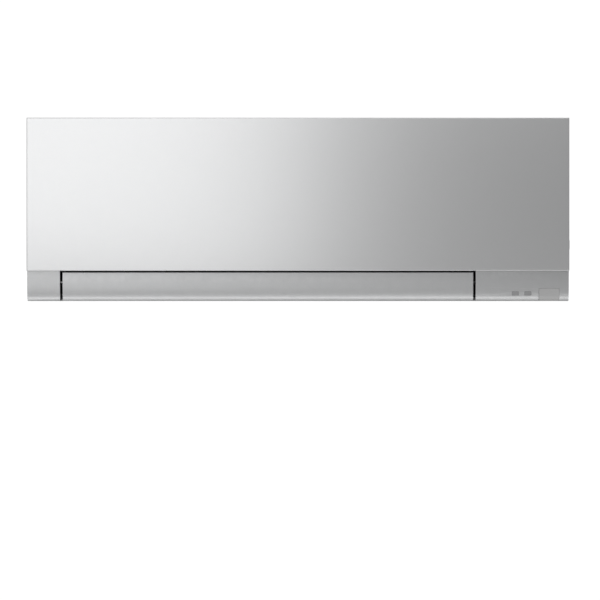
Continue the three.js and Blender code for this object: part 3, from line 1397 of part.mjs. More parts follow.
function pipeBar() {
  return part('pipe_bar', casingRim().intersect(rimFoot(FIT)), DARK_PLASTIC);
}

function rearCasing() {
  const plate = block(
    LEFT + WALL, RIGHT - WALL,
    BACK_PLATE_FRONT, BACK_PLATE_FRONT + WALL,
    PIPE_ROOF, TOP - WALL,
  );
  const scrollAtRoof = scrollLine(WALL / 2).find((place) => place.y < PIPE_ROOF);
  const roof = block(
    CHEEK_LEFT, CHEEK_RIGHT,
    scrollAtRoof.x, BACK_PLATE_FRONT + WALL,
    PIPE_ROOF, PIPE_ROOF + WALL,
  );
  const ribs = spread(DUCT_LEFT, DUCT_RIGHT, RIB_COUNT).map((x) => alongX(
    ribProfile(), x - RIB_T / 2, x + RIB_T / 2,
  ));
  const bosses = screwPlaces().map(screwBoss);
  const body = join(
    plate, roof, cut(casingRim(), rimFoot(0)), scrollWall(), rearGutter(), ...ribs,
    ...bulkheads(), motorCradle(), ...boxPosts(), ...bosses.map((boss) => boss.outer),
  );
  const holes = [...hookPlaces().map(hookSlot), ...bosses.map((boss) => boss.bore)];
  return part('rear_casing', cut(body, ...holes), DARK_PLASTIC);
}

// ---- Wall plate -----------------------------------------------------------------------

function plateOutline() {
  const bottom = BOTTOM + PLATE_UP;
  const top = PLATE_TOP;
  const half = PLATE_W / 2;
  const shape = polygon([
    point(-half + PLATE_CORNER, bottom),
    point(half - PLATE_CORNER, bottom),
    point(half, bottom + PLATE_CORNER),
    point(half, top - PLATE_CORNER),
    point(half - PLATE_CORNER, top),
    point(-half + PLATE_CORNER, top),
    point(-half, top - PLATE_CORNER),
    point(-half, bottom + PLATE_CORNER),
  ]);
  for (const x of spread(-half, half, PLATE_COLUMNS)) {
    for (const z of [bottom + PLATE_SLOT_H, top - HOOK_DOWN - 2 * PLATE_SLOT_H]) {
      shape.holes.push(roundedRectangle(
        x - PLATE_SLOT_W / 2, x + PLATE_SLOT_W / 2, z, z + PLATE_SLOT_H, PLATE_SLOT_ROUND,
      ));
    }
    const hole = new THREE.Path();
    hole.absarc(x + PLATE_SLOT_W / 2, top - PLATE_HOLE_R * 2, PLATE_HOLE_R, 0, 2 * Math.PI);
    shape.holes.push(hole);
  }
  return shape;
}

// Hook bent out of the wall plate: it passes through the rear casing and turns up.
function plateHook(x) {
  const under = PLATE_TOP - HOOK_DOWN;
  const reach = BACK_PLATE_FRONT - FIT - PLATE_T;
  return join(
    block(x - HOOK_W / 2, x + HOOK_W / 2, reach, -PLATE_T / 2, under, under + PLATE_T),
    block(x - HOOK_W / 2, x + HOOK_W / 2, reach, reach + PLATE_T, under, under + PLATE_T + HOOK_RISE),
  );
}

// The plate's bottom edge is bent out, and the rear casing rests against it.
function plateLedge() {
  const bottom = BOTTOM + PLATE_UP;
  const half = PLATE_W / 2 - 2 * PLATE_CORNER;
  return block(-half, half, BACK_PLATE_FRONT + WALL + FIT, -PLATE_T / 2, bottom, bottom + PLATE_T);
}

function mountingPlate() {
  const sheet = alongY(plateOutline(), -PLATE_T, 0);
  return part('mounting_plate', join(sheet, plateLedge(), ...hookPlaces().map(plateHook)), GALVANISED);
}

// ---- Coil -----------------------------------------------------------------------------

// The three slabs by their middle lines: foot and head, in the (y, z) plane.
function slabLines() {
  const middle = COIL_FACE + COIL_T / 2;
  const peak = point(FAN_Y - COIL_PEAK_AHEAD, TOP - COIL_PEAK_DOWN);
  const knee = point(middle, BOTTOM + COIL_KNEE_UP);
  return {
    front: [point(middle, TROUGH_RIM - COIL_IN_TROUGH), knee],
    upper: [knee, peak],
    rear: [peak, point(-COIL_REAR_OUT, BOTTOM + COIL_REAR_UP)],
  };
}

// Shortens a slab at the ends where it meets its neighbours.
function slabFrame([foot, head], footCut, headCut) {
  const along = head.clone().sub(foot).normalize();
  const outward = point(-along.y, along.x);
  return {
    foot: foot.clone().addScaledVector(along, footCut),
    head: head.clone().addScaledVector(along, -headCut),
    along,
    outward,
  };
}

function slabFrames() {
  const lines = slabLines();
  const miter = (first, second) => {
    const one = first[1].clone().sub(first[0]).normalize();
    const two = second[1].clone().sub(second[0]).normalize();
    const angle = Math.acos(THREE.MathUtils.clamp(one.dot(two), -1, 1));
    return (COIL_T / 2) * Math.tan(angle / 2) + COIL_SLAB_GAP / 2;
  };
  const knee = miter(lines.front, lines.upper);
  const peak = miter(lines.upper, lines.rear);
  return {
    front: slabFrame(lines.front, 0, knee),
    upper: slabFrame(lines.upper, knee, peak),
    rear: slabFrame(lines.rear, peak, 0),
  };
}

// Fin stack seen along the slab: a core with fins on its outer side.
function finShape(thickness) {
  const count = Math.floor((COIL_RIGHT - COIL_LEFT) / FIN_PITCH);
  const pitch = (COIL_RIGHT - COIL_LEFT) / count;
  const face = thickness / 2;
  const shape = new THREE.Shape();
  shape.moveTo(COIL_LEFT, -face);
  shape.lineTo(COIL_RIGHT, -face);
  for (let index = count; index > 0; index -= 1) {
    const to = COIL_LEFT + index * pitch;
    shape.lineTo(to, face);
    shape.lineTo(to - pitch / 2, face);
    shape.lineTo(to - pitch / 2, face - FIN_DEEP);
    shape.lineTo(to - pitch, face - FIN_DEEP);
  }
  return shape;
}

function coilSlab(name, { foot, head, along, outward }) {
  const length = head.distanceTo(foot);
  const geometry = extrude(finShape(COIL_T), length, ARC_STEPS);
  const frame = new THREE.Matrix4().makeBasis(
    new THREE.Vector3(1, 0, 0),
    new THREE.Vector3(0, outward.x, outward.y),
    new THREE.Vector3(0, along.x, along.y),
  );
  if (frame.determinant() < 0) {
    geometry.translate(0, 0, -length);
    frame.makeBasis(
      new THREE.Vector3(1, 0, 0),
      new THREE.Vector3(0, outward.x, outward.y),
      new THREE.Vector3(0, -along.x, -along.y),
    );
  }
  frame.setPosition(0, foot.x, foot.y);
  return part(name, toSolid(geometry.applyMatrix4(frame)), ALUMINIUM);
}

function plateCorners({ foot, head, outward }) {
  const half = COIL_T / 2 + COIL_PLATE_EDGE;
  const corner = (end, out) => end.clone().addScaledVector(outward, out);
  return {
    footOut: corner(foot, half), headOut: corner(head, half),
    headIn: corner(head, -half), footIn: corner(foot, -half),
  };
}

// Sheet end of the coil: the outline of the three slabs, with a web down to the bulkhead.
function endPlateProfile() {
  const { front, upper, rear } = slabFrames();
  const [a, b, c] = [plateCorners(front), plateCorners(upper), plateCorners(rear)];
  const webY = aroundFan(FAN_R, TONGUE_FROM).x + 2 * WALL;
  const webZ = BULKHEAD_TOP - COIL_WEB_DOWN;
  return polygon([
    a.footOut, a.headOut, b.footOut, b.headOut, c.footOut, c.headOut,
    c.headIn, c.footIn, b.headIn,
    point(webY, b.footIn.y), point(webY, webZ), point(a.footIn.x, webZ), a.footIn,
  ].reverse());
}

function returnBend(frame, share, x, outwardX) {
  const centre = frame.foot.clone().lerp(frame.head, share);
  const from = centre.clone().addScaledVector(frame.along, -BEND_SPREAD);
  const to = centre.clone().addScaledVector(frame.along, BEND_SPREAD);
  const place = (where, reach) => new THREE.Vector3(x + outwardX * reach, where.x, where.y);
  const [start, end] = [place(from, -COIL_PLATE_T / 2), place(to, -COIL_PLATE_T / 2)];
  const [startOut, endOut] = [place(from, 2 * BEND_REACH), place(to, 2 * BEND_REACH)];
  const path = new THREE.CubicBezierCurve3(start, startOut, endOut, end);
  const section = polygon(Array.from({ length: BEND_SIDES }, (_, side) => {
    const angle = (side * 2 * Math.PI) / BEND_SIDES;
    return point(BEND_R * Math.cos(angle), BEND_R * Math.sin(angle));
  }));
  return toSolid(new THREE.ExtrudeGeometry(section, { steps: BEND_STEPS, extrudePath: path }));
}

function coilEndPlate(name, from, to, bendX, outwardX) {
  const sheet = alongX(endPlateProfile(), from, to);
  const bends = Object.values(slabFrames()).flatMap((frame) => {
    return spread(0, 1, BENDS_PER_SLAB).map((share) => returnBend(frame, share, bendX, outwardX));
  });
  return part(name, join(sheet, ...bends), GALVANISED);
}

function coilSensor() {
  const { upper } = slabFrames();
  const middle = upper.foot.clone().lerp(upper.head, 0.5);
  const place = middle.addScaledVector(upper.outward, -COIL_T / 2 - SENSOR_R - FIT);
  const from = COIL_RIGHT - 2 * SENSOR_LENGTH;
  return part('coil_sensor', rodX(SENSOR_R, from, from + SENSOR_LENGTH, place.x, place.y), COPPER);
}

// ---- Filters --------------------------------------------------------------------------

function filterBand(inset, foot, rear) {
  const shape = new THREE.Shape();
  const face = FILTER_FACE + inset;
  const far = FILTER_FACE + FILTER_T - inset;
  const top = FILTER_TOP - inset;
  const low = FILTER_TOP - FILTER_T + inset;
  const centre = point(FILTER_FACE + FILTER_ROUND, FILTER_TOP - FILTER_ROUND);
  shape.moveTo(face, foot);
  shape.lineTo(face, centre.y);
  shape.absarc(centre.x, centre.y, FILTER_ROUND - inset, Math.PI, Math.PI / 2, true);
  shape.lineTo(rear, top);
  shape.lineTo(rear, low);
  shape.lineTo(centre.x, low);
  shape.absarc(centre.x, centre.y, FILTER_ROUND - FILTER_T + inset, Math.PI / 2, Math.PI, false);
  shape.lineTo(far, foot);
  return shape;
}

function airFilter(name, from, to) {
  const foot = TROUGH_RIM + FILTER_FOOT;
  const rear = -FILTER_REAR_OUT;
  const band = alongX(filterBand(0, foot, rear), from, to);
  const bend = FILTER_TOP - FILTER_ROUND;
  const columns = spread(from + FILTER_RIM, to - FILTER_RIM, FILTER_COLUMNS);
  const half = (to - from - 2 * FILTER_RIM) / FILTER_COLUMNS / 2 - FILTER_BAR / 2;
  const rowHalf = (bend - foot - FILTER_RIM) / FILTER_ROWS / 2 - FILTER_BAR / 2;
  const topFrom = FILTER_FACE + FILTER_ROUND;
  const topHalf = (rear - FILTER_RIM - topFrom) / FILTER_TOP_ROWS / 2 - FILTER_BAR / 2;
  const windows = [];
  for (const x of columns) {
    for (const z of spread(foot + FILTER_RIM, bend, FILTER_ROWS)) {
      windows.push(block(
        x - half, x + half,
        FILTER_FACE - CUT, FILTER_FACE + FILTER_T + CUT,
        z - rowHalf, z + rowHalf,
      ));
    }
    for (const y of spread(topFrom, rear - FILTER_RIM, FILTER_TOP_ROWS)) {
      windows.push(block(
        x - half, x + half,
        y - topHalf, y + topHalf,
        FILTER_TOP - FILTER_T - CUT, FILTER_TOP + CUT,
      ));
    }
  }
  return part(name, cut(band, ...windows), WHITE_PLASTIC);
}

// ---- Electrics ------------------------------------------------------------------------

function electricalBox() {
  const outer = block(BOX_LEFT, BOX_RIGHT, BOX_FRONT, -BOX_BACK, BOX_BOTTOM, BOX_TOP);
  const hollow = block(
    BOX_LEFT + BOX_WALL, BOX_RIGHT - BOX_WALL,
    BOX_FRONT - CUT, -BOX_BACK - BOX_WALL,
    BOX_BOTTOM + BOX_WALL, BOX_TOP - BOX_WALL,
  );
  const ledges = [BOX_BOTTOM, BOX_TOP].map((z) => block(
    BOX_LEFT + BOX_WALL / 2, BOX_RIGHT - BOX_WALL / 2,
    -BOX_BACK - BOARD_BACK, -BOX_BACK - BOX_WALL / 2,
    z - BOX_LEDGE, z + BOX_LEDGE,
  ).intersect(outer));
  return part('electrical_box', join(cut(outer, hollow), ...ledges), GREY_PLASTIC);
}

function boxLid() {
  const rim = BOX_WALL + FIT;
  const sheet = block(BOX_LEFT, BOX_RIGHT, BOX_FRONT - FIT - LID_T, BOX_FRONT - FIT, BOX_BOTTOM, BOX_TOP);
  const plug = block(
    BOX_LEFT + rim, BOX_RIGHT - rim,
    BOX_FRONT - FIT - LID_T / 2, BOX_FRONT + 2 * LID_T,
    BOX_BOTTOM + rim, BOX_TOP - rim,
  );
  const hollow = block(
    BOX_LEFT + rim + BOX_WALL, BOX_RIGHT - rim - BOX_WALL,
    BOX_FRONT - FIT, BOX_FRONT + CUT + 2 * LID_T,
    BOX_BOTTOM + rim + BOX_WALL, BOX_TOP - rim - BOX_WALL,
  );
  return part('electrical_box_lid', cut(join(sheet, plug), hollow), GREY_PLASTIC);
}

function controlBoard() {
  const left = BOX_LEFT + BOX_WALL + FIT;
  const right = BOX_RIGHT - BOX_WALL - FIT;
  const y = -BOX_BACK - BOARD_BACK - FIT - BOARD_T;
  const bottom = BOX_BOTTOM + BOX_WALL + 2 * FIT;
  const top = BOX_TOP - BOX_WALL - 2 * FIT;
  const sheet = block(left, right, y, y + BOARD_T, bottom, top);
  const rows = spread(bottom, top, CHIP_COUNT);
  const chips = rows.map((z, row) => block(
    left + (row + 1) * CHIP_H, left + (row + 1) * CHIP_H + CHIP_W,
    y - CHIP_H, y + BOARD_T / 2,
    z, z + CHIP_D,
  ));
  const capacitor = rodY(
    CAPACITOR_R, (left + right) / 2, y - 2 * CHIP_H, y + BOARD_T / 2, rows[1] - 2 * CAPACITOR_R,
  );
  return part('control_board', join(sheet, ...chips, capacitor), BOARD_GREEN);
}

function terminalBlock() {
  const left = BOX_LEFT + TERMINAL_SIDE;
  const right = BOX_RIGHT - TERMINAL_SIDE;
  const floor = BOX_BOTTOM + BOX_WALL + FIT;
  const front = BOX_FRONT + TERMINAL_BACK;
  const half = ((right - left) / TERMINAL_WAYS - TERMINAL_RIB) / 2;
  const body = block(left, right, front, front + TERMINAL_D, floor, floor + TERMINAL_H);
  const ways = spread(left, right, TERMINAL_WAYS).map((x) => block(
    x - half, x + half,
    front - CUT, front + TERMINAL_D / 2,
    floor + TERMINAL_H / 2, floor + TERMINAL_H + CUT,
  ));
  return part('terminal_block', cut(body, ...ways), DARK_PLASTIC);
}

function serviceButton() {
  const x = RIGHT - BUTTON_FROM_RIGHT;
  const z = BOTTOM + BUTTON_UP;
  const lid = BOX_FRONT - FIT - LID_T;
  const flange = CASING_FRONT + WALL + FIT;
  const body = join(
    rodY(BUTTON_R, x, CASING_FRONT - BUTTON_PROUD, flange + WALL / 2, z, ROUND_SIDES / 2),
    rodY(BUTTON_FLANGE_R, x, flange, flange + WALL / 2, z, ROUND_SIDES / 2),
    rodY(BUTTON_R / 2, x, flange, lid - BUTTON_TRAVEL - 2 * FIT, z),
  );
  return part('service_button', body, WHITE_PLASTIC);
}

// ---- Pipes ----------------------------------------------------------------------------

// Straight runs between corners, each corner rounded over the length `turn`.
function routedPath(corners, turn) {
  const path = new THREE.CurvePath();
  let from = corners[0];
  for (let index = 1; index < corners.length - 1; index += 1) {
    const corner = corners[index];
    const enter = corner.clone().add(corners[index - 1].clone().sub(corner).setLength(turn));
    const leave = corner.clone().add(corners[index + 1].clone().sub(corner).setLength(turn));
    path.add(new THREE.LineCurve3(from, enter));
    path.add(new THREE.QuadraticBezierCurve3(enter, corner, leave));
    from = leave;
  }
  path.add(new THREE.LineCurve3(from, corners[corners.length - 1]));
  return path;
}

// Runs in the channel behind the scroll, rises beside the motor and ends at the coil's right end.
function pipe(name, radius, z, share) {
  const { rear } = slabFrames();
  const end = rear.foot.clone().lerp(rear.head, share);
  const up = BOTTOM + z;
  const riser = PIPE_RISER - radius;
  const path = routedPath([
    new THREE.Vector3(PIPE_END, -PIPE_OUT, up),
    new THREE.Vector3(riser, -PIPE_OUT, up),
    new THREE.Vector3(riser, end.x, up),
    new THREE.Vector3(riser, end.x, end.y),
    new THREE.Vector3(DUCT_RIGHT, end.x, end.y),
  ], PIPE_TURN);
  const section = polygon(Array.from({ length: PIPE_SIDES }, (_, side) => {
    const angle = (side * 2 * Math.PI) / PIPE_SIDES;
    return point(radius * Math.cos(angle), radius * Math.sin(angle));
  }));
  const geometry = new THREE.ExtrudeGeometry(section, { steps: PIPE_STEPS, extrudePath: path });
  return part(name, toSolid(geometry), COPPER);
}

function flareNut(name, radius, z) {
  const outer = radius * NUT_GRIP;
  const bore = radius / Math.cos(Math.PI / PIPE_SIDES) + PIN_FIT;
  const nut = cut(
    rodX(outer, PIPE_END - FIT, PIPE_END + NUT_LENGTH, -PIPE_OUT, BOTTOM + z, NUT_SIDES),
    rodX(bore, PIPE_END - FIT - CUT, PIPE_END + NUT_LENGTH + CUT, -PIPE_OUT, BOTTOM + z, PIPE_SIDES),
  );
  return part(name, nut, BRASS);
}

// ---- Screws and caps ------------------------------------------------------------------

function casingScrew(name, x) {
  const seat = BOTTOM + CUP_DEPTH - FIT;
  const body = join(
    rodZ(SCREW_HEAD_R, x, SCREW_Y, seat - SCREW_HEAD_H, seat),
    rodZ(SCREW_R, x, SCREW_Y, seat - SCREW_HEAD_H / 2, scrollUndersideAt(SCREW_Y) - FIT),
  );
  return part(name, body, STEEL);
}

function screwCap(name, x) {
  return part(name, rodZ(CUP_R, x, SCREW_Y, BOTTOM, BOTTOM + CAP_T, ROUND_SIDES / 2), LIGHT_PLASTIC);
}

// ---- The unit -------------------------------------------------------------------------

const unit = new THREE.Group();

unit.add(mountingPlate(), rearCasing(), pipeBar(), frontCasing(), topGrille());
unit.add(leftCover(), rightCover(), receiverWindow(), displayBoard());
lensPlaces().forEach((x, index) => unit.add(lampLens(`lamp_lens_${index + 1}`, x)));
unit.add(outletFrame(), drainInsulation(), drainSpigot());

const slabs = slabFrames();
unit.add(coilSlab('coil_front_lower', slabs.front));
unit.add(coilSlab('coil_front_upper', slabs.upper));
unit.add(coilSlab('coil_rear', slabs.rear));
unit.add(coilEndPlate('coil_end_plate_left', DUCT_LEFT + FIT, COIL_LEFT - FIT, DUCT_LEFT + FIT, -1));
unit.add(coilEndPlate('coil_end_plate_right', COIL_RIGHT + FIT, DUCT_RIGHT - FIT, DUCT_RIGHT - FIT, 1));
unit.add(coilSensor());
unit.add(pipe('gas_pipe', GAS_R, GAS_UP, GAS_SHARE), pipe('liquid_pipe', LIQUID_R, LIQUID_UP, LIQUID_SHARE));
unit.add(flareNut('gas_flare_nut', GAS_R, GAS_UP), flareNut('liquid_flare_nut', LIQUID_R, LIQUID_UP));

unit.add(fanRotor(), fanShaft(), bearingHolder(), fanMotor(), motorClamp());
unit.add(frontVane(), lowerVane());
unit.add(driveSleeve('upper_vane_sleeve', VANE_Y, VANE_Z), driveSleeve('lower_vane_sleeve', FLAP_Y, FLAP_Z));
unit.add(vaneMotor('upper_vane_motor', VANE_Y, VANE_Z, STEPPER_OFFSET, 0));
unit.add(vaneMotor('lower_vane_motor', FLAP_Y, FLAP_Z, 0, STEPPER_OFFSET));

const banks = [
  { side: 'left', places: louvrePlaces().slice(0, LOUVRE_COUNT) },
  { side: 'right', places: louvrePlaces().slice(LOUVRE_COUNT) },
];
for (const { side, places } of banks) {
  places.forEach((x, index) => unit.add(louvre(`louvre_${side}_${index + 1}`, x)));
  unit.add(linkBar(`link_bar_${side}`, places));
}

unit.add(airFilter('air_filter_left', FILTER_LEFT, FILTER_MIDDLE - FILTER_GAP / 2));
unit.add(airFilter('air_filter_right', FILTER_MIDDLE + FILTER_GAP / 2, FILTER_RIGHT));
unit.add(electricalBox(), boxLid(), controlBoard(), terminalBlock(), serviceButton());
screwPlaces().forEach((x, index) => {
  unit.add(casingScrew(`casing_screw_${index + 1}`, x), screwCap(`screw_cap_${index + 1}`, x));
});
unit.add(frontPanel());

export default unit;
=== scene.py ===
import json
import math

import bmesh
import bpy
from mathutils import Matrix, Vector

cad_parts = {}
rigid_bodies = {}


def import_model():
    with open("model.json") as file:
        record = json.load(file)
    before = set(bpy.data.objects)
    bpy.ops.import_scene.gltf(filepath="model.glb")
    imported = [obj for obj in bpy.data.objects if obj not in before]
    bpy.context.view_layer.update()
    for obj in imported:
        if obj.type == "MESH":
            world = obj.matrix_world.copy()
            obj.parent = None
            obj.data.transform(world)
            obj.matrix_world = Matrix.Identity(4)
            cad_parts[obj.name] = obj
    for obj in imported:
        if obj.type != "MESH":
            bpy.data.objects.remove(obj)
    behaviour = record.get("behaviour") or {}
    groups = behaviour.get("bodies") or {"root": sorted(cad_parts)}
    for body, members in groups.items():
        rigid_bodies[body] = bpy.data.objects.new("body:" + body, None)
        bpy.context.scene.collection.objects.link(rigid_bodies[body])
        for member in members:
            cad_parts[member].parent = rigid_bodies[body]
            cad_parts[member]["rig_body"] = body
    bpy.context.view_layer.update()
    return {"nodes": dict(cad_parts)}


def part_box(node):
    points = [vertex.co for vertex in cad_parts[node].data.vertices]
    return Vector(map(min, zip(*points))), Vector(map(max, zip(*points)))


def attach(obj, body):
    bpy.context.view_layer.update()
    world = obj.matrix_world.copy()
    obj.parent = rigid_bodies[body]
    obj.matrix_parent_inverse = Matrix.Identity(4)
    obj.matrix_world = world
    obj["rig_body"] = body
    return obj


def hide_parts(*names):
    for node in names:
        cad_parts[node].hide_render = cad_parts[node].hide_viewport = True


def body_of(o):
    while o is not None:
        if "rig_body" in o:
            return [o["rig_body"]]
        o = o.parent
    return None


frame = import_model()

bl_info = {
    "name": "Mini split indoor unit",
    "version": (1, 0, 0),
    "blender": (4, 5, 0),
    "location": "3D View > Sidebar > Indoor unit",
    "description": "Finished pieces, finishes and studio for a wall-mounted indoor unit",
    "category": "Add Mesh",
}

NODES = frame["nodes"]
LOUVRES = [f"louvre_{side}_{index}" for side in ("left", "right") for index in range(1, 6)]

# How close two spots have to be to count as one, in metres
NEAR = 1e-5
MERGED = 2e-6
STRAIGHT = 1e-10

# Angles between faces, in degrees
FLAT = 0.4
SHARP = 32.0
SHARP_ON_FAN = 30.0

# The hub that takes the shaft, in from the fan's right end
HUB_DEEP = 0.022
HUB_RADIUS = 0.011
HUB_CLEAR = 0.0004

# A blade's root and tip, as a share of its thickest place
BLADE_EDGE = 0.3

# Straight steps in a curve
BLADE_STEPS = 6
BEND_STEPS = 8

# The corner of a cover where its pocket breaks through the rounded foot
POCKET_WIDTH = 0.006
POCKET_FRONT = -0.17487
POCKET_TOP = -0.143


# ---- Mesh tools --------------------------------------------------------------------------


def settings(group):
    """The sizes and colours of one group of pieces."""
    return getattr(bpy.context.scene, group)


def finished(name, mesh, body, finish, stands_for=()):
    """A new piece in the scene that rides on a body and wears a finish."""
    piece = bpy.data.objects.new(name, mesh)
    bpy.context.scene.collection.objects.link(piece)
    mesh.materials.clear()
    mesh.materials.append(FINISH[finish])
    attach(piece, body)
    if stands_for:
        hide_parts(*stands_for)
    return piece


def mesh_from(name, shape):
    """Turns a bmesh into a mesh."""
    mesh = bpy.data.meshes.new(name)
    shape.to_mesh(mesh)
    shape.free()
    return mesh


def smooth_below(shape, degrees):
    """Smooth shading everywhere but over edges sharper than the given angle."""
    limit = math.radians(degrees)
    for face in shape.faces:
        face.smooth = True
    for edge in shape.edges:
        edge.smooth = edge.calc_face_angle(math.pi) < limit


def moulding_mesh(node, degrees):
    """A clean copy of a CAD node's mesh: joined corners, whole flat faces and smooth curves."""
    shape = bmesh.new()
    shape.from_mesh(NODES[node].data)
    bmesh.ops.remove_doubles(shape, verts=shape.verts, dist=MERGED)
    bmesh.ops.dissolve_limit(
        shape, angle_limit=math.radians(FLAT), verts=shape.verts, edges=shape.edges
    )
    smooth_below(shape, degrees)
    return mesh_from(node + "_finished", shape)


def rounded_edges(piece, width, segments, degrees):
    """Breaks the sharp edges of a piece with a small round."""
    bevel = piece.modifiers.new("Edge round", "BEVEL")
    bevel.width = width
    bevel.segments = segments
    bevel.limit_method = "ANGLE"
    bevel.angle_limit = math.radians(degrees)
    bevel.use_clamp_overlap = True
    bevel.harden_normals = True
    return piece


def moulding(node, finish, width, segments=2, degrees=SHARP):
    """A finished copy of a CAD node with its sharp edges broken."""
    body = body_of(NODES[node])[0]
    mesh = moulding_mesh(node, degrees)
    piece = finished(mesh.name, mesh, body, finish, (node,))
    return rounded_edges(piece, width, segments, degrees)


def close_seam(piece, left=0.0, right=0.0, below=0.0, above=0.0):
    """Widens a piece on its four sides, seen from the front, to meet what it sits in."""
    spots = [vertex.co.copy() for vertex in piece.data.vertices]
    low_x, high_x = min(spot.x for spot in spots), max(spot.x for spot in spots)
    low_z, high_z = min(spot.z for spot in spots), max(spot.z for spot in spots)
    for vertex, spot in zip(piece.data.vertices, spots):
        across = (spot.x - low_x) / (high_x - low_x)
        up = (spot.z - low_z) / (high_z - low_z)
        vertex.co.x = spot.x + across * right - (1 - across) * left
        vertex.co.z = spot.z + up * above - (1 - up) * below


def close_pocket(piece, node):
    """Skins over the place where a corner cover's pocket breaks through its rounded foot."""
    low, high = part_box(node)
    edge = high.x if high.x < 0 else low.x
    shape = bmesh.new()
    shape.from_mesh(piece.data)
    for vertex in shape.verts:
        beside = NEAR < abs(vertex.co.x - edge) < POCKET_WIDTH
        if beside and vertex.co.y < POCKET_FRONT and vertex.co.z < POCKET_TOP:
            vertex.co.x = edge
    bmesh.ops.remove_doubles(shape, verts=shape.verts, dist=MERGED)
    bmesh.ops.dissolve_degenerate(shape, dist=MERGED, edges=shape.edges)
    shape.to_mesh(piece.data)
    shape.free()


def add_prism(shape, corners, x_from, x_to):
    """Adds a closed prism along X with the given corners (y, z)."""
    near = [shape.verts.new((x_from, y, z)) for y, z in corners]
    far = [shape.verts.new((x_to, y, z)) for y, z in corners]
    shape.faces.new(near)
    shape.faces.new(far[::-1])
    for index in range(len(corners)):
        after = (index + 1) % len(corners)
        shape.faces.new((near[after], near[index], far[index], far[after]))


def add_tube(shape, points, radius, sides=4):
    """Adds a closed round wire along a line of points."""
    rings = []
    for index, spot in enumerate(points):
        before = points[max(index - 1, 0)]
        after = points[min(index + 1, len(points) - 1)]
        turn = (after - before).normalized().to_track_quat("Z", "X")
        ring = []
        for side in range(sides):
            angle = 2 * math.pi * side / sides
            offset = Vector((radius * math.cos(angle), radius * math.sin(angle), 0))
            ring.append(shape.verts.new(spot + turn @ offset))
        rings.append(ring)
    for one, two in zip(rings, rings[1:]):
        for side in range(sides):
            after = (side + 1) % sides
            shape.faces.new((one[side], one[after], two[after], two[side]))
    shape.faces.new(rings[0][::-1])
    shape.faces.new(rings[-1])


def add_ring(shape, axis, x_from, x_to, inner, outer, sides=48):
    """Adds a disc or a ring about an axis (y, z) along X."""
    rounds = []
    for radius in (outer, inner):
        for at in (x_from, x_to):
            ring = []
            for side in range(sides if radius else 1):
                angle = 2 * math.pi * side / sides
                spot = (at, axis[0] + radius * math.cos(angle), axis[1] + radius * math.sin(angle))
                ring.append(shape.verts.new(spot))
            rounds.append(ring)
    rim_near, rim_far, bore_near, bore_far = rounds
    for side in range(sides):
        after = (side + 1) % sides
        shape.faces.new((rim_near[side], rim_near[after], rim_far[after], rim_far[side]))
        if not inner:
            shape.faces.new((rim_near[after], rim_near[side], bore_near[0]))
            shape.faces.new((rim_far[side], rim_far[after], bore_far[0]))
            continue
        shape.faces.new((bore_near[after], bore_near[side], bore_far[side], bore_far[after]))
        shape.faces.new((rim_near[after], rim_near[side], bore_near[side], bore_near[after]))
        shape.faces.new((rim_far[side], rim_far[after], bore_far[after], bore_far[side]))


def blade_section(axis, root, tip, turn, inside):
    """Crescent section of one fan blade, as (y, z) corners in turn."""
    near, far = [], []
    for step in range(BLADE_STEPS + 1):
        share = step / BLADE_STEPS
        radius = root + (tip - root) * share
        bow = BLADE_EDGE + (1 - BLADE_EDGE) * math.sin(math.pi * share)
        half = inside.blade_thickness * bow / 2 / radius
        angle = turn + inside.blade_sweep * share * share
        for line, offset in ((near, -half), (far, half)):
            across = axis[0] + radius * math.cos(angle + offset)
            up = axis[1] + radius * math.sin(angle + offset)
            line.append((across, up))
    return near + far[::-1]


def distance_to(axis, spot):
    """Distance of a point from an axis (y, z) along X."""
    return math.hypot(spot.y - axis[0], spot.z - axis[1])


def radius_at(node, at, axis):
    """Greatest radius of a CAD node about an axis, at one place along X."""
    spots = [vertex.co for vertex in NODES[node].data.vertices]
    return max(distance_to(axis, spot) for spot in spots if abs(spot.x - at) < NEAR)


def start_of(node, axis, radius):
    """First place along X where a CAD node is wider than a radius."""
    spots = [vertex.co for vertex in NODES[node].data.vertices]
    return min(spot.x for spot in spots if distance_to(axis, spot) > radius)


def outline_of(node):
    """The convex outline of a CAD node seen along X, as (y, z) corners in turn."""
    spots = sorted({(round(v.co.y, 6), round(v.co.z, 6)) for v in NODES[node].data.vertices})

    def chain(ordered):
        line = []
        for spot in ordered:
            while len(line) > 1:
                (ay, az), (by, bz) = line[-2:]
                if (by - ay) * (spot[1] - az) - (bz - az) * (spot[0] - ay) > STRAIGHT:
                    break
                line.pop()
            line.append(spot)
        return line[:-1]

    return chain(spots) + chain(spots[::-1])


# ---- Finishes ----------------------------------------------------------------------------


NUMBER = "NodeSocketFloat"
VECTOR = "NodeSocketVector"
COLOUR = "NodeSocketColor"
LAYER_OUT = (("Colour", COLOUR), ("Roughness", NUMBER))
SURFACE_OUT = (*LAYER_OUT, ("Height", NUMBER))
EFFECTS = {}
FINISH = {}

# Which of a texture's values an effect spreads from none to full
WHOLE = (0.0, 1.0)
CLOUDS = (0.3, 0.7)
LINES = (0.35, 0.65)
STAINS = (0.48, 0.75)
DUST_PATCHES = (0.35, 0.75)
LEVEL_FACES = (0.35, 1.0)
OUTER_EDGES = (0.51, 0.58)


def grey(value):
    """A neutral colour."""
    return (value, value, value, 1.0)


def effect(name, inputs, outputs):
    """An empty shader node group: its tree, its given values and its last node."""
    tree = bpy.data.node_groups.new(name, "ShaderNodeTree")
    for label, value in inputs.items():
        kind = NUMBER if isinstance(value, float) else COLOUR if len(value) == 4 else VECTOR
        socket = tree.interface.new_socket(name=label, in_out="INPUT", socket_type=kind)
        socket.default_value = value
    for label, kind in outputs:
        tree.interface.new_socket(name=label, in_out="OUTPUT", socket_type=kind)
    return tree, tree.nodes.new("NodeGroupInput").outputs, tree.nodes.new("NodeGroupOutput")


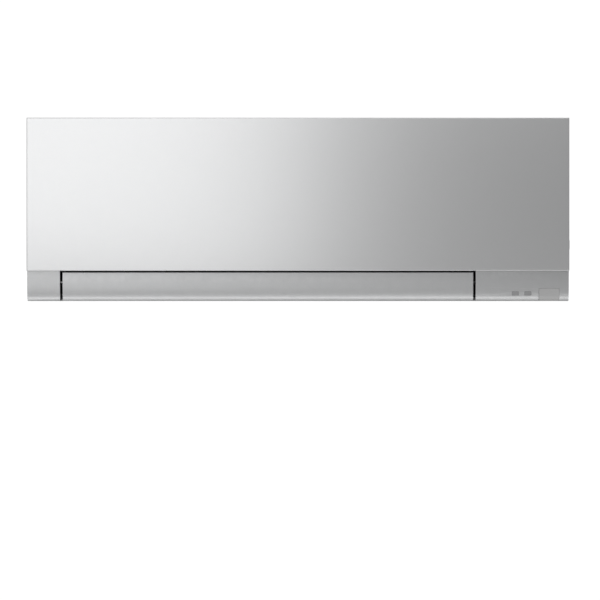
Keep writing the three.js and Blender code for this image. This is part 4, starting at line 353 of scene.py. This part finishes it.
def fill(tree, node, inputs):
    """Wires a node's inputs to the sockets given, and sets the others to plain values."""
    for label, value in inputs.items():
        if isinstance(value, bpy.types.NodeSocket):
            tree.links.new(value, node.inputs[label])
        else:
            node.inputs[label].default_value = value


def place(tree, kind, inputs, **traits):
    """Adds a node, sets its traits and fills its inputs."""
    node = tree.nodes.new(kind)
    for trait, value in traits.items():
        setattr(node, trait, value)
    fill(tree, node, inputs)
    return node


def times(tree, one, two):
    """The product of two numbers."""
    return place(tree, "ShaderNodeMath", {0: one, 1: two}, operation="MULTIPLY").outputs[0]


def plus(tree, one, two):
    """The sum of two numbers."""
    return place(tree, "ShaderNodeMath", {0: one, 1: two}, operation="ADD").outputs[0]


def remap(tree, source, span, onto=WHOLE):
    """Stretches a range of numbers onto another."""
    inputs = {
        "Value": source,
        "From Min": span[0],
        "From Max": span[1],
        "To Min": onto[0],
        "To Max": onto[1],
    }
    return place(tree, "ShaderNodeMapRange", inputs).outputs["Result"]


def mixed(tree, share, first, second, blend="MIX"):
    """A mix of two colours by a share."""
    inputs = {0: share, 6: first, 7: second}
    traits = {"data_type": "RGBA", "blend_type": blend, "clamp_factor": True}
    return place(tree, "ShaderNodeMix", inputs, **traits).outputs[2]


def spot_on_piece(tree):
    """Where a spot lies on its own piece, so that the texture moves with the piece."""
    return tree.nodes.new("ShaderNodeTexCoord").outputs["Object"]


def noise(tree, spot, scale, detail, roughness=0.5, output="Fac"):
    """Cloudy noise."""
    inputs = {"Vector": spot, "Scale": scale, "Detail": detail, "Roughness": roughness}
    return place(tree, "ShaderNodeTexNoise", inputs).outputs[output]


def cell_tones(tree, spot, scale):
    """Three even random numbers for each small cell."""
    cells = place(tree, "ShaderNodeTexVoronoi", {"Vector": spot, "Scale": scale})
    return place(tree, "ShaderNodeSeparateColor", {"Color": cells.outputs["Color"]}).outputs


def moulded_grain():
    """Fine grain of a moulding, with slow drifts of tone and gloss."""
    inputs = {
        "Colour": grey(0.7),
        "Drift": 0.05,
        "Grain scale": 1800.0,
        "Roughness": 0.45,
        "Gloss drift": 0.06,
    }
    tree, given, out = effect("Moulded grain", inputs, SURFACE_OUT)
    shade = grey(0.12)
    spot = spot_on_piece(tree)
    grain = noise(tree, spot, given["Grain scale"], detail=3.0, roughness=0.6)
    slow = noise(tree, spot, scale=5.0, detail=4.0)
    share = times(tree, remap(tree, slow, CLOUDS), given["Drift"])
    swing = times(tree, remap(tree, slow, CLOUDS, (-1.0, 1.0)), given["Gloss drift"])
    fine = times(tree, remap(tree, grain, CLOUDS, (-0.5, 0.5)), given["Gloss drift"])
    outputs = {
        "Colour": mixed(tree, share, given["Colour"], shade),
        "Roughness": plus(tree, plus(tree, given["Roughness"], swing), fine),
        "Height": grain,
    }
    fill(tree, out, outputs)
    return tree


def metallic_flake():
    """Small bright flakes under a clear paint, over a very slight orange peel."""
    inputs = {
        "Colour": grey(0.6),
        "Flake scale": 4000.0,
        "Flake strength": 0.12,
        "Roughness": 0.35,
        "Peel scale": 260.0,
    }
    tree, given, out = effect("Metallic flake", inputs, SURFACE_OUT)
    glint = grey(1.0)
    spot = spot_on_piece(tree)
    tones = cell_tones(tree, spot, given["Flake scale"])
    share = times(tree, tones[0], given["Flake strength"])
    swing = remap(tree, tones[1], WHOLE, (-0.04, 0.04))
    outputs = {
        "Colour": mixed(tree, share, given["Colour"], glint),
        "Roughness": plus(tree, given["Roughness"], swing),
        "Height": noise(tree, spot, given["Peel scale"], detail=1.0),
    }
    fill(tree, out, outputs)
    return tree


def drawn_metal():
    """Fine lines along one direction, as on rolled, drawn or turned metal."""
    inputs = {
        "Colour": grey(0.6),
        "Line stretch": (20.0, 900.0, 900.0),
        "Line strength": 0.18,
        "Roughness": 0.32,
        "Stain": 0.15,
    }
    tree, given, out = effect("Drawn metal", inputs, SURFACE_OUT)
    groove, tarnish = grey(0.08), grey(0.16)
    spot = spot_on_piece(tree)
    laid = place(
        tree, "ShaderNodeVectorMath", {0: spot, 1: given["Line stretch"]}, operation="MULTIPLY"
    )
    lines = noise(tree, laid.outputs[0], scale=1.0, detail=2.0)
    stain = noise(tree, spot, scale=22.0, detail=5.0)
    dark = times(tree, remap(tree, lines, LINES), given["Line strength"])
    spread = times(tree, remap(tree, stain, STAINS), given["Stain"])
    base = mixed(tree, dark, given["Colour"], groove)
    rough = plus(tree, given["Roughness"], times(tree, dark, 0.6))
    outputs = {
        "Colour": mixed(tree, spread, base, tarnish),
        "Roughness": plus(tree, rough, times(tree, spread, 0.5)),
        "Height": lines,
    }
    fill(tree, out, outputs)
    return tree


def zinc_spangle():
    """Zinc coating with the faint frost of its crystals."""
    inputs = {
        "Colour": grey(0.5),
        "Spangle scale": 110.0,
        "Spangle strength": 0.25,
        "Roughness": 0.4,
    }
    tree, given, out = effect("Zinc spangle", inputs, SURFACE_OUT)
    bend, frost = 0.012, grey(0.22)
    spot = spot_on_piece(tree)
    warp = noise(tree, spot, scale=60.0, detail=2.0, output="Color")
    bent = mixed(tree, bend, spot, warp, "ADD")
    tones = cell_tones(tree, bent, given["Spangle scale"])
    share = times(tree, tones[0], given["Spangle strength"])
    swing = remap(tree, tones[1], WHOLE, (-0.08, 0.08))
    outputs = {
        "Colour": mixed(tree, share, given["Colour"], frost),
        "Roughness": plus(tree, given["Roughness"], swing),
        "Height": tones[2],
    }
    fill(tree, out, outputs)
    return tree


def settled_dust():
    """A film of dust, thickest on faces that look up."""
    inputs = {
        "Colour": grey(0.7),
        "Roughness": 0.45,
        "Dust colour": (0.42, 0.39, 0.35, 1.0),
        "Amount": 0.12,
    }
    tree, given, out = effect("Settled dust", inputs, LAYER_OUT)
    faces = tree.nodes.new("ShaderNodeNewGeometry")
    axes = place(tree, "ShaderNodeSeparateXYZ", {"Vector": faces.outputs["Normal"]})
    cloud = noise(tree, spot_on_piece(tree), scale=34.0, detail=6.0)
    upward = remap(tree, axes.outputs["Z"], LEVEL_FACES, (0.15, 1.0))
    patchy = times(tree, upward, remap(tree, cloud, DUST_PATCHES))
    share = times(tree, patchy, given["Amount"])
    outputs = {
        "Colour": mixed(tree, share, given["Colour"], given["Dust colour"]),
        "Roughness": plus(tree, given["Roughness"], times(tree, share, 0.6)),
    }
    fill(tree, out, outputs)
    return tree


def handled_edges():
    """Edges rubbed a little lighter and glossier by use and wiping."""
    inputs = {
        "Colour": grey(0.7),
        "Roughness": 0.45,
        "Rubbed colour": grey(0.85),
        "Amount": 0.25,
    }
    tree, given, out = effect("Handled edges", inputs, LAYER_OUT)
    faces = tree.nodes.new("ShaderNodeNewGeometry")
    broken = noise(tree, spot_on_piece(tree), scale=90.0, detail=4.0)
    edge = remap(tree, faces.outputs["Pointiness"], OUTER_EDGES)
    patchy = times(tree, edge, remap(tree, broken, CLOUDS))
    share = times(tree, patchy, given["Amount"])
    outputs = {
        "Colour": mixed(tree, share, given["Colour"], given["Rubbed colour"]),
        "Roughness": plus(tree, given["Roughness"], times(tree, share, -0.15)),
    }
    fill(tree, out, outputs)
    return tree


def prepare_effects():
    """Builds every shared effect once."""
    EFFECTS["flake"] = metallic_flake()
    EFFECTS["grain"] = moulded_grain()
    EFFECTS["drawn"] = drawn_metal()
    EFFECTS["spangle"] = zinc_spangle()
    EFFECTS["dust"] = settled_dust()
    EFFECTS["edges"] = handled_edges()


def finish_made(name, base, values, bump, depth, dust=0.0, rubbed=0.0, **shader):
    """A material from one base effect, with rubbed edges and dust laid over it."""
    material = bpy.data.materials.new(name)
    material.use_nodes = True
    tree = material.node_tree
    ground = place(tree, "ShaderNodeGroup", values, node_tree=EFFECTS[base])
    colour, rough = ground.outputs["Colour"], ground.outputs["Roughness"]
    for kind, amount in (("edges", rubbed), ("dust", dust)):
        if amount:
            under = {"Colour": colour, "Roughness": rough, "Amount": amount}
            layer = place(tree, "ShaderNodeGroup", under, node_tree=EFFECTS[kind])
            colour, rough = layer.outputs["Colour"], layer.outputs["Roughness"]
    grooves = {"Strength": bump, "Distance": depth, "Height": ground.outputs["Height"]}
    relief = place(tree, "ShaderNodeBump", grooves).outputs["Normal"]
    surface = tree.nodes["Principled BSDF"]
    fill(tree, surface, {"Base Color": colour, "Roughness": rough, "Normal": relief})
    for label, value in shader.items():
        surface.inputs[label.replace("_", " ")].default_value = value
    return material


def prepare_finishes():
    """Builds the finish of every slot."""
    look = settings("unit_finish")
    FINISH["silver"] = finish_made(
        "Silver panel paint",
        "flake",
        {
            "Colour": (*look.silver, 1.0),
            "Flake strength": look.flake,
            "Roughness": look.silver_roughness,
        },
        bump=0.035,
        depth=0.00005,
        rubbed=0.15,
        Metallic=0.92,
        Coat_Weight=0.12,
        Coat_Roughness=0.12,
    )
    FINISH["light"] = finish_made(
        "Silver strip paint",
        "flake",
        {
            "Colour": (*look.strip, 1.0),
            "Flake scale": 3200.0,
            "Flake strength": look.flake,
            "Roughness": 0.43,
        },
        bump=0.05,
        depth=0.00005,
        dust=0.04,
        rubbed=0.15,
        Metallic=0.85,
    )
    FINISH["casing"] = finish_made(
        "Silver casing moulding",
        "flake",
        {
            "Colour": (*look.casing, 1.0),
            "Flake scale": 2600.0,
            "Flake strength": look.flake,
            "Roughness": 0.48,
        },
        bump=0.10,
        depth=0.00008,
        dust=0.10,
        rubbed=0.12,
        Metallic=0.55,
    )
    FINISH["dark"] = finish_made(
        "Dark moulding",
        "grain",
        {"Colour": (*look.dark, 1.0), "Roughness": 0.55, "Drift": 0.25},
        bump=0.18,
        depth=0.00012,
        dust=0.22,
    )
    FINISH["grey"] = finish_made(
        "Grey moulding",
        "grain",
        {"Colour": grey(0.30), "Roughness": 0.5},
        bump=0.15,
        depth=0.0001,
        dust=0.18,
    )
    FINISH["white"] = finish_made(
        "White moulding",
        "grain",
        {"Colour": (0.80, 0.80, 0.78, 1.0), "Roughness": 0.42},
        bump=0.10,
        depth=0.0001,
        dust=0.14,
    )
    FINISH["foam"] = finish_made(
        "Closed-cell foam",
        "grain",
        {
            "Colour": (0.85, 0.85, 0.82, 1.0),
            "Grain scale": 900.0,
            "Roughness": 0.9,
            "Drift": 0.08,
        },
        bump=0.5,
        depth=0.0005,
        dust=0.2,
    )
    for name, colour, rough in (("window", look.window, 0.3), ("lamp", look.lamp, 0.16)):
        FINISH[name] = finish_made(
            f"Tinted {name}",
            "grain",
            {"Colour": (*colour, 1.0), "Grain scale": 700.0, "Roughness": rough, "Drift": 0.02},
            bump=0.02,
            depth=0.00004,
            Coat_Weight=0.5,
            Coat_Roughness=0.05,
        )
    FINISH["rubber"] = finish_made(
        "Moulded rubber",
        "grain",
        {"Colour": grey(0.03), "Roughness": 0.8, "Grain scale": 1200.0},
        bump=0.25,
        depth=0.0002,
        dust=0.25,
    )
    FINISH["aluminium"] = finish_made(
        "Aluminium fins",
        "drawn",
        {"Colour": (0.75, 0.77, 0.78, 1.0), "Line stretch": (900.0, 900.0, 30.0)},
        bump=0.05,
        depth=0.0001,
        dust=0.14,
        Metallic=1.0,
    )
    FINISH["galvanised"] = finish_made(
        "Galvanised sheet",
        "spangle",
        {"Colour": (0.55, 0.56, 0.57, 1.0)},
        bump=0.05,
        depth=0.00006,
        dust=0.10,
        rubbed=0.3,
        Metallic=0.95,
    )
    FINISH["copper"] = finish_made(
        "Copper pipe",
        "drawn",
        {
            "Colour": (0.72, 0.36, 0.20, 1.0),
            "Line stretch": (12.0, 500.0, 500.0),
            "Stain": 0.4,
        },
        bump=0.05,
        depth=0.0001,
        Metallic=1.0,
    )
    FINISH["brass"] = finish_made(
        "Turned brass",
        "drawn",
        {"Colour": (0.76, 0.56, 0.24, 1.0), "Line stretch": (1500.0, 40.0, 40.0)},
        bump=0.08,
        depth=0.0001,
        rubbed=0.3,
        Metallic=1.0,
    )
    FINISH["steel"] = finish_made(
        "Plain steel",
        "drawn",
        {"Colour": (0.50, 0.51, 0.52, 1.0), "Line stretch": (1500.0, 60.0, 60.0)},
        bump=0.08,
        depth=0.0001,
        rubbed=0.3,
        Metallic=1.0,
    )
    FINISH["board"] = finish_made(
        "Circuit board",
        "grain",
        {"Colour": (0.04, 0.16, 0.07, 1.0), "Roughness": 0.35, "Grain scale": 500.0},
        bump=0.1,
        depth=0.0001,
        Coat_Weight=0.3,
    )


# ---- Settings that a user would change ---------------------------------------------------


def number(name, description, default, **traits):
    """A number with its unit or limits."""
    return bpy.props.FloatProperty(name=name, description=description, default=default, **traits)


def length(name, description, default):
    """A length in metres."""
    return number(name, description, default, unit="LENGTH", min=0.0)


def position(name, description, default):
    """A place along one axis, in metres."""
    return number(name, description, default, unit="LENGTH")


def tilt(name, description, degrees):
    """An angle, with its default given in degrees."""
    return number(name, description, math.radians(degrees), subtype="ANGLE")


def power(name, description, default):
    """The power of a light, in watts."""
    return number(name, description, default, unit="POWER", min=0.0)


def portion(name, description, default):
    """A part of a whole."""
    return number(name, description, default, subtype="FACTOR", min=0.0, max=1.0)


def tint(name, description, default):
    """A colour."""
    return bpy.props.FloatVectorProperty(
        name=name, description=description, default=default, subtype="COLOR", size=3
    )


def whole(name, description, default, least, most):
    """A whole number with its limits."""
    return bpy.props.IntProperty(
        name=name, description=description, default=default, min=least, max=most
    )


class UnitFinish(bpy.types.PropertyGroup):
    """Colours and gloss of the unit."""

    silver: tint("Panel", "Paint of the front panel", (0.74, 0.745, 0.75))
    silver_roughness: portion("Panel roughness", "How satin the panel's paint is", 0.36)
    strip: tint("Strip", "Paint of the vanes and corner covers", (0.54, 0.545, 0.55))
    casing: tint("Casing", "Paint of the casing and top grille", (0.62, 0.625, 0.63))
    flake: portion("Flake", "How far the flakes stand out in the paint", 0.10)
    dark: tint("Dark mouldings", "Duct, fan and louvres", (0.045, 0.047, 0.05))
    window: tint("Receiver window", "Tint of the window", (0.44, 0.44, 0.44))
    lamp: tint("Lamp lenses", "Tint of the lenses", (0.30, 0.30, 0.305))


class UnitEdges(bpy.types.PropertyGroup):
    """Edge rounds of the outer pieces."""

    panel: length("Panel edge", "Round on the panel's chamfer", 0.0009)
    strip: length("Strip edge", "Round on the vanes and covers", 0.0006)
    casing: length("Casing edge", "Round on the casing", 0.0006)
    grille: length("Grille edge", "Round on the grille's bars", 0.0007)
    inner: length("Inner edge", "Round on the pieces inside", 0.0003)
    lamp: length("Lamp edge", "Round on the lamp lenses", 0.0005)
    pipe: length("Pipe edge", "Round on the ends of the pipes", 0.00005)
    seam: length("Seam", "Gap that the window and the lenses close", 0.00025)


class UnitInside(bpy.types.PropertyGroup):
    """Sizes of the fine pieces inside."""

    fin_pitch: length("Fin pitch", "From one coil fin to the next", 0.0018)
    fin_thickness: length("Fin thickness", "Of the aluminium sheet", 0.00014)
    net_pitch: length("Net pitch", "From one filter thread to the next", 0.002)
    net_thread: length("Net thread", "Radius of a filter thread", 0.00016)
    filter_round: length("Filter bend", "Outer radius of the filter's bend", 0.028)
    filter_sheet: length("Filter frame", "Thickness of the filter's frame", 0.0022)
    filter_rim: length("Filter rim", "Width of the frame round the net", 0.004)
    blade_count: whole("Blades", "Blades round the fan", 35, 8, 60)
    blade_depth: length("Blade depth", "From a blade's root to its tip", 0.0115)
    blade_thickness: length("Blade thickness", "At the blade's middle", 0.0011)
    blade_sweep: tilt("Blade sweep", "How far a tip leads its root", 15)
    blade_stagger: tilt("Blade stagger", "Turn of each stretch of blades past the last", 2.4)
    fan_stretches: whole("Stretches", "Stretches of blades between discs", 8, 1, 16)
    disc_thickness: length("Disc thickness", "Of each disc of the fan", 0.0022)


class UnitStudio(bpy.types.PropertyGroup):
    """Camera, floor and lights."""

    distance: length("Distance", "From the lens to the front panel", 5.433)
    lens: number("Lens", "Focal length", 200.0, unit="CAMERA")
    across: position("Across", "Camera to the right of the middle", 0.0033)
    height: position("Height", "Camera above the unit's middle", -0.1477)
    floor: position("Floor", "Height of the floor", -1.1)
    surround: portion("Surround", "Brightness of the soft surround", 0.28)
    key: power("Key", "Power of the large light on the left", 42.0)
    top: power("Top", "Power of the light above", 26.0)
    low: power("Low", "Power of the light below the unit", 10.0)


# ---- Studio ------------------------------------------------------------------------------


SENSOR_WIDTH = 36.0
VIEW_END = 60.0
FLOOR_REACH = 4.0
BACKDROP_WHITE = 1.05
# Where each light stands, where it looks, and its width and height
LIGHTS = {
    "key": ((-2.05, -2.6, 0.8), (-2.05, 0.0, 0.8), (4.2, 3.2)),
    "top": ((0.3, -1.5, 2.2), (0.0, -0.1, 0.0), (2.4, 1.2)),
    "low": ((-0.15, -0.45, -1.05), (-0.1, -0.19, -0.15), (4.0, 0.8)),
}


def add_light(name, place_at, look_at, size, watts):
    """A large soft light that the camera doesn't see."""
    light = bpy.data.lights.new(name, "AREA")
    light.shape = "RECTANGLE"
    light.size, light.size_y = size
    light.energy = watts
    lamp = bpy.data.objects.new(name, light)
    bpy.context.scene.collection.objects.link(lamp)
    lamp.location = place_at
    lamp.rotation_mode = "QUATERNION"
    toward = Vector(look_at) - Vector(place_at)
    lamp.rotation_quaternion = toward.to_track_quat("-Z", "Y")
    lamp.visible_camera = False


class MakeStudio(bpy.types.Operator):
    """Sets up the camera, the floor, the soft lights and the white surround"""

    bl_idname = "indoor_unit.studio"
    bl_label = "Studio"

    def execute(self, context):
        studio = settings("unit_studio")
        scene = context.scene
        lens = bpy.data.cameras.new("Camera")
        lens.lens = studio.lens
        lens.sensor_width = SENSOR_WIDTH
        lens.clip_end = VIEW_END
        camera = bpy.data.objects.new("Camera", lens)
        scene.collection.objects.link(camera)
        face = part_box("front_panel")[0].y
        camera.location = (studio.across, face - studio.distance, studio.height)
        camera.rotation_euler = (math.pi / 2, 0.0, 0.0)
        scene.camera = camera
        shape = bmesh.new()
        bmesh.ops.create_grid(shape, x_segments=1, y_segments=1, size=FLOOR_REACH)
        floor = bpy.data.objects.new("floor", mesh_from("floor", shape))
        floor.location = (0.0, 0.0, studio.floor)
        scene.collection.objects.link(floor)
        floor.data.materials.append(self.floor_finish())
        for name, (place_at, look_at, size) in LIGHTS.items():
            add_light(name.title(), place_at, look_at, size, getattr(studio, name))
        self.surround(scene, studio.surround)
        scene.view_settings.view_transform = "Standard"
        return {"FINISHED"}

    def floor_finish(self):
        """Pale matt floor with a faint mottle."""
        return finish_made(
            "Pale floor",
            "grain",
            {"Colour": grey(0.82), "Grain scale": 60.0, "Roughness": 0.75, "Drift": 0.03},
            bump=0.05,
            depth=0.0005,
        )

    def surround(self, scene, strength):
        """White behind the unit and softly grey to everything that it lights."""
        world = bpy.data.worlds.new("Surround")
        world.use_nodes = True
        scene.world = world
        tree = world.node_tree
        glow = tree.nodes["Background"]
        glow.inputs["Color"].default_value = grey(strength)
        white = {"Color": grey(1.0), "Strength": BACKDROP_WHITE}
        seen = place(tree, "ShaderNodeBackground", white)
        rays = tree.nodes.new("ShaderNodeLightPath")
        sides = {0: rays.outputs["Is Camera Ray"], 1: glow.outputs[0], 2: seen.outputs[0]}
        blend = place(tree, "ShaderNodeMixShader", sides)
        tree.links.new(blend.outputs[0], tree.nodes["World Output"].inputs["Surface"])


# ---- Pieces ------------------------------------------------------------------------------


class MakePanel(bpy.types.Operator):
    """Dresses the hinged front panel in satin silver paint with rounded edges"""

    bl_idname = "indoor_unit.panel"
    bl_label = "Front panel"

    def execute(self, context):
        edge = settings("unit_edges").panel
        moulding("front_panel", "silver", edge, segments=4, degrees=25.0)
        return {"FINISHED"}


class MakeCasing(bpy.types.Operator):
    """Dresses the casing, the top grille, the rear casing and the wall plate"""

    bl_idname = "indoor_unit.casing"
    bl_label = "Casing"

    def execute(self, context):
        edges = settings("unit_edges")
        moulding("front_casing", "casing", edges.casing)
        moulding("top_grille", "casing", edges.grille)
        moulding("rear_casing", "dark", edges.casing)
        moulding("pipe_bar", "dark", edges.casing)
        moulding("mounting_plate", "galvanised", edges.inner)
        for cap in ("screw_cap_1", "screw_cap_2"):
            moulding(cap, "casing", edges.inner)
        return {"FINISHED"}


class MakeStrip(bpy.types.Operator):
    """Dresses the corner covers, the lamps and the receiver window"""

    bl_idname = "indoor_unit.strip"
    bl_label = "Corner covers"

    def execute(self, context):
        edges = settings("unit_edges")
        for cover in ("left_corner_cover", "right_corner_cover"):
            close_pocket(moulding(cover, "light", edges.strip, segments=3), cover)
        window = moulding("receiver_window", "window", edges.inner)
        close_seam(window, right=edges.seam, above=edges.seam)
        for lens in ("lamp_lens_1", "lamp_lens_2"):
            lamp = moulding(lens, "lamp", edges.lamp, segments=3)
            close_seam(lamp, edges.seam, edges.seam, edges.seam, edges.seam)
        moulding("display_board", "board", edges.inner)
        return {"FINISHED"}


class MakeVanes(bpy.types.Operator):
    """Dresses the two air vanes, their drives, the louvres and the link bars"""

    bl_idname = "indoor_unit.vanes"
    bl_label = "Vanes and louvres"

    def execute(self, context):
        edges = settings("unit_edges")
        moulding("upper_vane", "light", edges.strip, segments=3)
        moulding("lower_vane", "light", edges.strip, segments=3)
        for node in ("upper_vane_sleeve", "lower_vane_sleeve"):
            moulding(node, "dark", edges.inner)
        for node in ("upper_vane_motor", "lower_vane_motor"):
            moulding(node, "galvanised", edges.inner)
        for node in LOUVRES + ["link_bar_left", "link_bar_right"]:
            moulding(node, "dark", edges.inner)
        return {"FINISHED"}


class MakeOutlet(bpy.types.Operator):
    """Dresses the outlet frame, the drain trough, its foam and its spigot"""

    bl_idname = "indoor_unit.outlet"
    bl_label = "Outlet and drain"

    def execute(self, context):
        edges = settings("unit_edges")
        moulding("outlet_frame", "dark", edges.inner)
        moulding("drain_insulation", "foam", edges.inner)
        moulding("drain_spigot", "dark", edges.inner)
        return {"FINISHED"}


class MakeCoil(bpy.types.Operator):
    """Makes the fins of the three coil slabs and dresses their end plates and pipes"""

    bl_idname = "indoor_unit.coil"
    bl_label = "Coil"

    def execute(self, context):
        edges = settings("unit_edges")
        inside = settings("unit_inside")
        for slab in ("coil_front_lower", "coil_front_upper", "coil_rear"):
            low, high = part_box(slab)
            corners = outline_of(slab)
            shape = bmesh.new()
            count = int((high.x - low.x) / inside.fin_pitch)
            for index in range(count + 1):
                at = low.x + (high.x - low.x - inside.fin_thickness) * index / count
                add_prism(shape, corners, at, at + inside.fin_thickness)
            bmesh.ops.recalc_face_normals(shape, faces=shape.faces)
            name = slab + "_fins"
            finished(name, mesh_from(name, shape), "housing", "aluminium", (slab,))
        for plate in ("coil_end_plate_left", "coil_end_plate_right"):
            moulding(plate, "galvanised", edges.inner)
        for pipe in ("gas_pipe", "liquid_pipe", "coil_sensor"):
            moulding(pipe, "copper", edges.pipe, segments=1, degrees=60.0)
        for nut in ("gas_flare_nut", "liquid_flare_nut"):
            moulding(nut, "brass", edges.casing)
        return {"FINISHED"}


class MakeFan(bpy.types.Operator):
    """Makes the many-bladed cross-flow fan and dresses its shaft, motor and holders"""

    bl_idname = "indoor_unit.fan"
    bl_label = "Cross-flow fan"

    def execute(self, context):
        edges = settings("unit_edges")
        self.rotor(settings("unit_inside"))
        moulding("fan_shaft", "steel", edges.inner)
        moulding("fan_bearing_holder", "rubber", edges.inner)
        moulding("fan_motor", "galvanised", edges.casing)
        moulding("motor_clamp", "dark", edges.inner)
        return {"FINISHED"}

    def rotor(self, inside):
        """Staggered stretches of crescent blades between discs, with a stub and a hub"""
        low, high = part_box("fan_rotor")
        axis = ((low.y + high.y) / 2, (low.z + high.z) / 2)
        radius = (high.z - low.z) / 2
        root = radius - inside.blade_depth
        stub = radius_at("fan_rotor", low.x, axis)
        # The left disc is the first part of the fan that is far wider than its stub
        disc_left = start_of("fan_rotor", axis, 2 * stub)
        count = inside.fan_stretches
        pitch = (high.x - disc_left - inside.disc_thickness) / count
        shape = bmesh.new()
        for index in range(count + 1):
            at = disc_left + index * pitch
            inner = root - inside.blade_thickness if 0 < index < count else 0.0
            add_ring(shape, axis, at, at + inside.disc_thickness, inner, radius)
        for index in range(count):
            at = disc_left + index * pitch + inside.disc_thickness / 2
            for blade in range(inside.blade_count):
                turn = 2 * math.pi * blade / inside.blade_count + index * inside.blade_stagger
                add_prism(shape, blade_section(axis, root, radius, turn, inside), at, at + pitch)
        add_ring(shape, axis, low.x, disc_left + inside.disc_thickness / 2, 0.0, stub)
        add_ring(shape, axis, high.x - HUB_DEEP, high.x, stub + HUB_CLEAR, HUB_RADIUS)
        bmesh.ops.recalc_face_normals(shape, faces=shape.faces)
        smooth_below(shape, SHARP_ON_FAN)
        mesh = mesh_from("fan_rotor_blades", shape)
        finished("fan_rotor_blades", mesh, "fan", "dark", ("fan_rotor",))


class MakeFilters(bpy.types.Operator):
    """Makes the fine nets of the two air filters and dresses their frames"""

    bl_idname = "indoor_unit.filters"
    bl_label = "Air filters"

    def execute(self, context):
        edges = settings("unit_edges")
        for side in ("left", "right"):
            moulding(f"air_filter_{side}", "white", edges.inner)
            self.net(f"air_filter_{side}", settings("unit_inside"))
        return {"FINISHED"}

    def net(self, node, inside):
        """Crossed threads laid along the middle of the filter's bent frame"""
        low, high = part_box(node)
        line = self.middle_line(low, high, inside)
        lengths = [(two - one).length for one, two in zip(line, line[1:])]
        shape = bmesh.new()
        left, right = low.x + inside.filter_rim / 2, high.x - inside.filter_rim / 2
        count = round((right - left) / inside.net_pitch)
        for index in range(count + 1):
            at = Vector((left + (right - left) * index / count, 0, 0))
            add_tube(shape, [at + spot for spot in line], inside.net_thread)
        rows = round(sum(lengths) / inside.net_pitch)
        for index in range(rows + 1):
            spot = self.along(line, lengths, sum(lengths) * index / rows)
            ends = [Vector((at, spot.y, spot.z)) for at in (left, right)]
            add_tube(shape, ends, inside.net_thread)
        name = node + "_net"
        finished(name, mesh_from(name, shape), "housing", "white")

    def middle_line(self, low, high, inside):
        """The frame's middle line: up the front, round the bend and back over the top"""
        radius = inside.filter_round
        centre = Vector((0, low.y + radius, high.z - radius))
        sweep = radius - inside.filter_sheet / 2
        bend = [
            centre + Vector((0, -sweep * math.cos(turn), sweep * math.sin(turn)))
            for turn in (math.pi / 2 * step / BEND_STEPS for step in range(BEND_STEPS + 1))
        ]
        foot = Vector((0, bend[0].y, low.z + inside.filter_rim / 2))
        end = Vector((0, high.y - inside.filter_rim / 2, bend[-1].z))
        return [foot, *bend, end]

    def along(self, line, lengths, distance):
        """The point of a line at a distance from its start"""
        for start, end, length_here in zip(line, line[1:], lengths):
            if distance <= length_here + NEAR:
                return start.lerp(end, distance / length_here)
            distance -= length_here
        return line[-1]


class MakeElectrics(bpy.types.Operator):
    """Dresses the electrical box, its boards, terminals and the service button"""

    bl_idname = "indoor_unit.electrics"
    bl_label = "Electrics and fixings"

    def execute(self, context):
        edges = settings("unit_edges")
        moulding("electrical_box", "white", edges.inner)
        moulding("electrical_box_lid", "galvanised", edges.inner)
        moulding("control_board", "board", edges.inner)
        moulding("terminal_block", "grey", edges.inner)
        moulding("service_button", "casing", edges.inner, segments=3)
        for screw in ("casing_screw_1", "casing_screw_2"):
            moulding(screw, "steel", edges.inner)
        return {"FINISHED"}


class UnitPanel(bpy.types.Panel):
    """Lists the pieces of the indoor unit"""

    bl_idname = "VIEW3D_PT_indoor_unit"
    bl_label = "Indoor unit"
    bl_space_type = "VIEW_3D"
    bl_region_type = "UI"
    bl_category = "Indoor unit"

    def draw(self, context):
        for maker in MAKERS:
            self.layout.operator(maker.bl_idname)


SETTINGS = {
    "unit_finish": UnitFinish,
    "unit_edges": UnitEdges,
    "unit_inside": UnitInside,
    "unit_studio": UnitStudio,
}
MAKERS = (
    MakeStudio,
    MakePanel,
    MakeCasing,
    MakeStrip,
    MakeVanes,
    MakeOutlet,
    MakeCoil,
    MakeFan,
    MakeFilters,
    MakeElectrics,
)


def register():
    for name, group in SETTINGS.items():
        bpy.utils.register_class(group)
        setattr(bpy.types.Scene, name, bpy.props.PointerProperty(type=group))
    for maker in (*MAKERS, UnitPanel):
        bpy.utils.register_class(maker)


def unregister():
    for maker in (UnitPanel, *reversed(MAKERS)):
        bpy.utils.unregister_class(maker)
    for name, group in reversed(SETTINGS.items()):
        delattr(bpy.types.Scene, name)
        bpy.utils.unregister_class(group)


def main():
    register()
    prepare_effects()
    prepare_finishes()
    for maker in MAKERS:
        group, name = maker.bl_idname.split(".")
        getattr(getattr(bpy.ops, group), name)()


if __name__ == "__main__":
    main()
